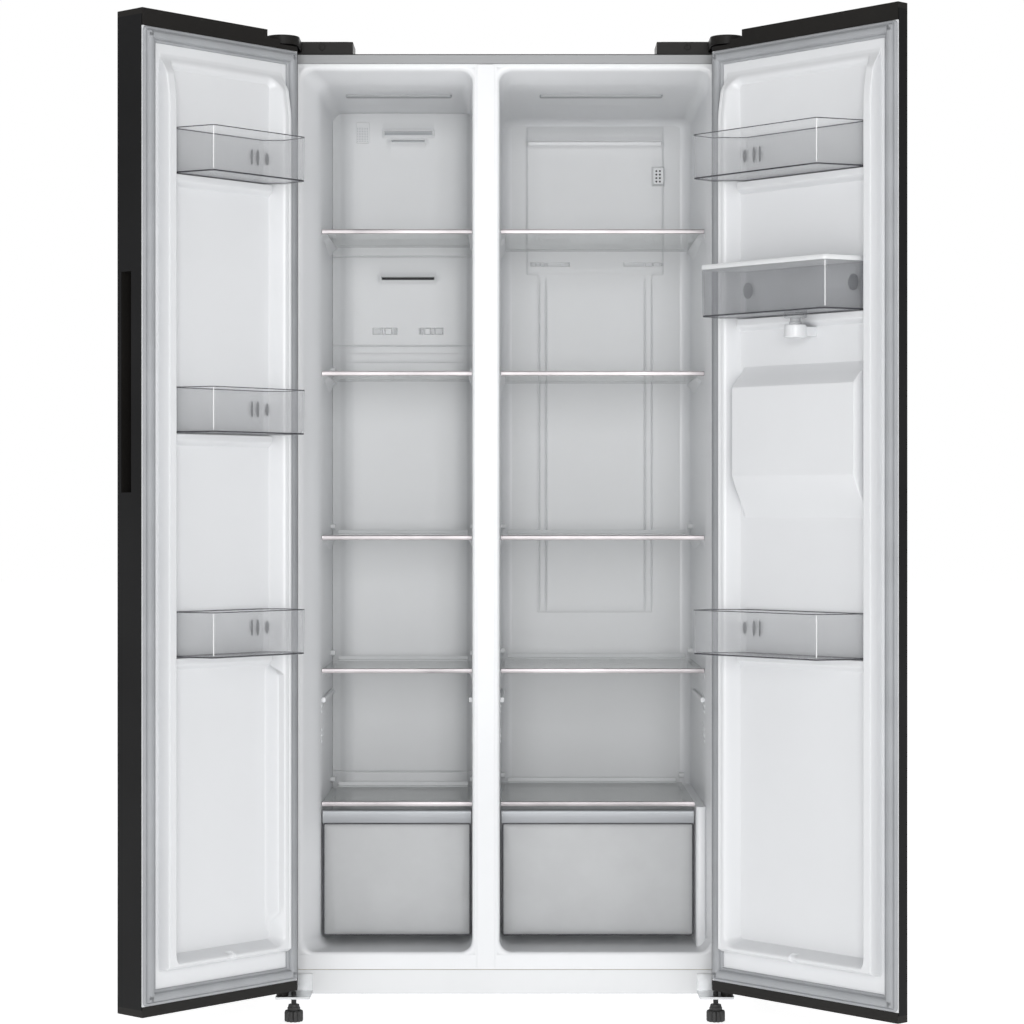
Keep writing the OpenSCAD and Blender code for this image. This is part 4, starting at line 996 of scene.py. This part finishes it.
# %% Ledges, gussets and hooks
def ledge(name, wall, out, top, y):
    """A ledge along y on a wall whose inside is towards out, with a round gusset and a hook.

    Its section is a wedge: reach wide at the top, and drop deep at the wall.
    """
    rows = np.linspace(0, 1, 14)
    drop = 8 + 18 * (1 - smooth(rows * 5)) + 16 * smooth(rows * 1.4) ** 2
    drop = np.where(rows > 0.86, 24 - 12 * smooth((rows - 0.86) / 0.14), drop)
    reach = 9 * smooth(rows * 8 + 0.2)
    behind, tip, along = np.full(14, wall - out), wall + out * reach, y[0] + rows * (y[1] - y[0])
    tops = np.full(14, top)
    rings = np.stack([np.stack([behind, tip, tip, behind], 1), np.repeat(along[:, None], 4, 1),
                      np.stack([tops, tops, tops - 2.5, tops - drop], 1)], -1)
    settle(closed_loop(name, rings, liner_white, as_is), "cabinet", slot="liner_white")
    section = fillet(rectangle(y[1] - 34, y[1] - 16, top + 16.6, top + 26.6), 3, 5)
    hook = bar(name + "_hook", section, sorted((wall - out, wall + 9 * out)), cover_white, as_is)
    settle(hook, "cabinet", slot="cover_white")


for comp in ("freezer", "fridge"):
    for k in range(1, 6):
        low, high = box("%s_shelf_%d" % (comp, k))
        for side, wall, out in (("left", low[0] - 1.5, 1), ("right", high[0] + 1.5, -1)):
            ledge("%s_ledge_%d_%s" % (comp, k, side), wall, out, high[2] - 14.5, (low[1] + 16, high[1]))
print("ledges and hooks: two of each for every shelf")

# %% Ribs and spare rails on the side walls
def ribs(name, x, out, y, z, count, rise_per):
    """Short slanted ribs on a wall, one closed wedge each, 11 mm apart, all in one mesh."""
    t = np.arange(count)[:, None, None]
    wedge = np.array([[0, 0, 0], [out * 1.6, 1, 2], [out * 1.6, 1, 4], [0, 0, 6]], float)
    far = wedge + [0, y[1] - y[0], rise_per]
    points = (np.concatenate([wedge, far]) + [x, y[0], z] + t * np.array([0, 0, 11.0])).reshape(-1, 3)
    box_faces = np.array([[0, 1, 5, 4], [1, 2, 6, 5], [2, 3, 7, 6], [3, 0, 4, 7],
                          [3, 2, 1, 0], [4, 5, 6, 7]])
    faces = (np.arange(count)[:, None, None] * 8 + box_faces).reshape(-1, 4)
    piece = outward(make_object(name, points * MM, faces, liner_white, soft=False))
    return settle(piece, "cabinet", slot="liner_white")


for comp in ("freezer", "fridge"):
    x = inner[comp + "_inside"]
    for side, wall, out in (("left", x[0], 1), ("right", x[1], -1)):
        for n, z in enumerate((shelf_tops[4] + 110, shelf_tops[4] + 165)):
            ribs("%s_ribs_%s_%d" % (comp, side, n), wall, out, (front_y + 95, front_y + 150), z, 3, 9)
        spare_z = shelf_tops[3] - 62
        section = fillet(rectangle(wall, wall + 7 * out, spare_z, spare_z + 9)[:: out], 2, 4)
        spare = bar("%s_spare_rail_%s" % (comp, side), section, (front_y + 104, front_y + 360), liner_white,
                    backwards)
        settle(spare, "cabinet", slot="liner_white")
print("ribs and spare rails done")

# %% Base beside the fridge drawer, and the drawers' runners
drawer_high = box("fridge_drawer")[1]
side_x = drawer_high[0] + 3
top = drawer_high[2] + 8
base_plan = fillet(rectangle(side_x, inner["fridge_inside"][1] + 0.5, front_y + 62, back_y), 5)
levels = [(2, floor_z), (0, floor_z), (0, top - 2), (1, top), (3, top)]
base = closed_stack("fridge_side_base", base_plan, levels, liner_white, as_is)
settle(base, "cabinet", slot="liner_white")
for comp in ("freezer", "fridge"):
    low, high = box(comp + "_drawer")
    for n, x in enumerate((low[0] + 15, high[0] - 27)):
        section = fillet(rectangle(x, x + 12, floor_z - 1, low[2] - 0.4), 2, 4)
        # The runners take the darker trim grey, not the liner's white: painted shade, as they sit in the
        # shadow under the drawers.
        runner = bar("%s_runner_%d" % (comp, n), section, (low[1] + 110, high[1]), trim_grey, backwards)
        settle(runner, "cabinet", slot="liner_white")
print("base from x", round(float(side_x), 1))

# %% Sensor box on the fridge's back wall, and its dots
sensor_x, sensor_z = (dx + 113, dx + 135), (ceiling_z - 132, ceiling_z - 97)
sensor = closed_stack("fridge_sensor", fillet(rectangle(*sensor_x, *sensor_z), 3),
                      [(0, 0), (0, 3), (1.2, 5), (3, 5)], cover_white, upright(duct_low[1] + 5, -1))
settle(sensor, "cabinet", slot="cover_white")
dots("fridge_sensor_dots", (sensor_x[0] + 7, sensor_x[1] - 5), (sensor_z[0] + 6, sensor_z[1] - 4),
     duct_low[1] - 0.2, 7.0, 2.0, shadow_black)
print("sensor at", np.round(sensor_x, 1))

# %% [markdown]
# ## Hinge covers, plugs and feet
# The covers over the upper hinges are black mouldings with a round head over the pin. The CAD has
# their exact plan, so their walls are carried over, and a softly rounded lid and a screw plug are set
# on them. A foot is a notched knob with a turned screw above it.

# %% Upper hinge covers
top = box("hinge_covers")[1][2]
t = np.linspace(0, 2 * np.pi, 33)[:-1]
for door, sign in ((left, -1), (right, 1)):
    x0, x1 = sorted((door.at[0] + sign * 16, door.at[0] - sign * 122))
    lid_plan = fillet(rectangle(x0 + 1, x1 - 1, door.at[1] + 60, door.at[1] + 138), 9)
    levels = [(0, top - 12), (0, top - 0.3), (0.8, top + 0.5), (3, top + 0.9), (5, top + 0.9)]
    cap = closed_stack("hinge_lid_" + door.side, lid_plan, levels, cap_plastic, as_is)
    settle(cap, "cabinet", slot="black_plastic")
    ring = np.stack([door.at[0] - sign * 67 + 6 * np.cos(t), top - 9.5 + 6 * np.sin(t)], 1)
    levels = [(0, 0), (0, 1), (0.8, 1.8), (2.6, 1.8), (3, 1.0), (4.5, 1.0)]
    plug = closed_stack("hinge_plug_" + door.side, ring, levels, cap_plastic, upright(door.at[1] + 59.2, -1))
    settle(plug, "cabinet", slot="black_plastic")
print("hinge covers up to z", round(float(top), 1))

# %% Screw feet
def notched(radius, notches, depth, steps=12):
    """A circle with round notches: the radius dips by depth at each notch."""
    t = np.linspace(0, 2 * np.pi, notches * steps + 1)[:-1]
    r = radius - depth * np.clip(np.cos(notches * t) * 1.6 - 0.6, 0, 1)
    return np.stack([r * np.cos(t), r * np.sin(t)], 1)


for side in ("left", "right"):
    node = side + "_foot"
    low, high = box(node)
    centre = (low[:2] + high[:2]) / 2
    r = (high[0] - low[0]) / 2
    levels = [(3, 0), (1.2, 0.2), (0, 2), (0, 17), (1.0, 19.4), (3, 20), (5, 20)]
    knob = closed_stack(node + "_knob", notched(r, 12, 2.2) + centre, levels, foot_black, as_is)
    settle(knob, node, node, slot="roller_plastic")
    collar = [(0, 19), (11, 19), (11.6, 20), (11.6, 25), (10.5, 26), (9.5, 30.6), (5, 31)]
    thread = [(4.9 - 0.5 * (k % 2), 31.5 + 0.75 * k) for k in range(30)]
    screw = turned(node + "_screw", centre, collar + thread + [(0, 54)], foot_black, as_is, 32)
    settle(screw, node, slot="roller_plastic")
print("feet under x", np.round(centre, 1))

# %% [markdown]
# ## Finishes of the carried-over nodes
# What the CAD already has in its true shape keeps it: sheet, foam, fins, fans, motors and brackets.
# Each gets its finish from the list above.

# %% Paint the frame
paint(black_steel, "outer_shell", "left_door_skin", "right_door_skin")
paint(cap_plastic, "left_door_trim", "right_door_trim", "hinge_covers", "power_inlet")
paint(rear_steel, "rear_panel", "machine_cover")
paint(zinc, "base_pan", "hinge_brackets")
paint(foam_cream, "cabinet_foam", "left_door_foam", "right_door_foam")
paint(fins, "evaporator")
paint(dark_fins, "condenser")
paint(motor_dark, "fan_motors")
paint(can_black, "compressor")
paint(fan_plastic, "evaporator_fan", "condenser_fan")
paint(pan_plastic, "drain_pan")
paint(board_cream, "control_box")
paint(foot_black, "rear_rollers")
paint(niche_black, "dispenser_niche")
paint(paddle_grey, "dispenser_paddle", "drip_tray")
print("nodes still shown:", sum(not o.hide_render for o in frame["nodes"].values()))

# %% [markdown]
# ## Floor and light
# A plain pale floor and four large soft lights, as in a studio. The largest stands beside the camera, so
# that it reaches into both compartments. The world lights weakly, or it would wash out the corners, but
# shows as white behind the object. The floor glows a little, so it meets that white without a horizon.

# %% Studio
bpy.ops.mesh.primitive_plane_add(size=60)
floor = bpy.context.object
floor.name = "floor"
floor.data.materials.append(finish("studio_floor", (0.8, 0.8, 0.8), 0.8, vary=0.01, grain=50, bump=0.02,
                                   emission_color=(1, 1, 1, 1), emission_strength=0.72))


def soft_light(name, at, towards, size, power):
    """A large square lamp that looks at a point."""
    lamp = bpy.data.lights.new(name, "AREA")
    lamp.size, lamp.energy = size, power
    holder = bpy.data.objects.new(name, lamp)
    holder.location = at
    holder.rotation_euler = (Vector(towards) - Vector(at)).to_track_quat("-Z", "Y").to_euler()
    bpy.context.collection.objects.link(holder)
    return holder


soft_light("by_the_camera", (0.1, -6.4, 1.5), (0, 0, 0.9), 2.4, 135)
soft_light("front_left", (-3.0, -4.4, 2.4), (0, 0, 1.0), 2.4, 16)
soft_light("front_right", (3.0, -4.4, 2.4), (0, 0, 1.0), 2.4, 16)
soft_light("from_behind", (0.0, 3.5, 3.2), (0, 0, 1.0), 2.5, 40)
world = bpy.data.worlds.new("studio")
world.use_nodes = True
nodes, links = world.node_tree.nodes, world.node_tree.links
nodes["Background"].inputs["Color"].default_value = (1, 1, 1, 1)
seen, strength = nodes.new("ShaderNodeLightPath"), nodes.new("ShaderNodeMapRange")
strength.inputs["To Min"].default_value, strength.inputs["To Max"].default_value = 0.4, 1.0
links.new(seen.outputs["Is Camera Ray"], strength.inputs["Value"])
links.new(strength.outputs["Result"], nodes["Background"].inputs["Strength"])
bpy.context.scene.world = world
bpy.context.scene.view_settings.view_transform = "Standard"
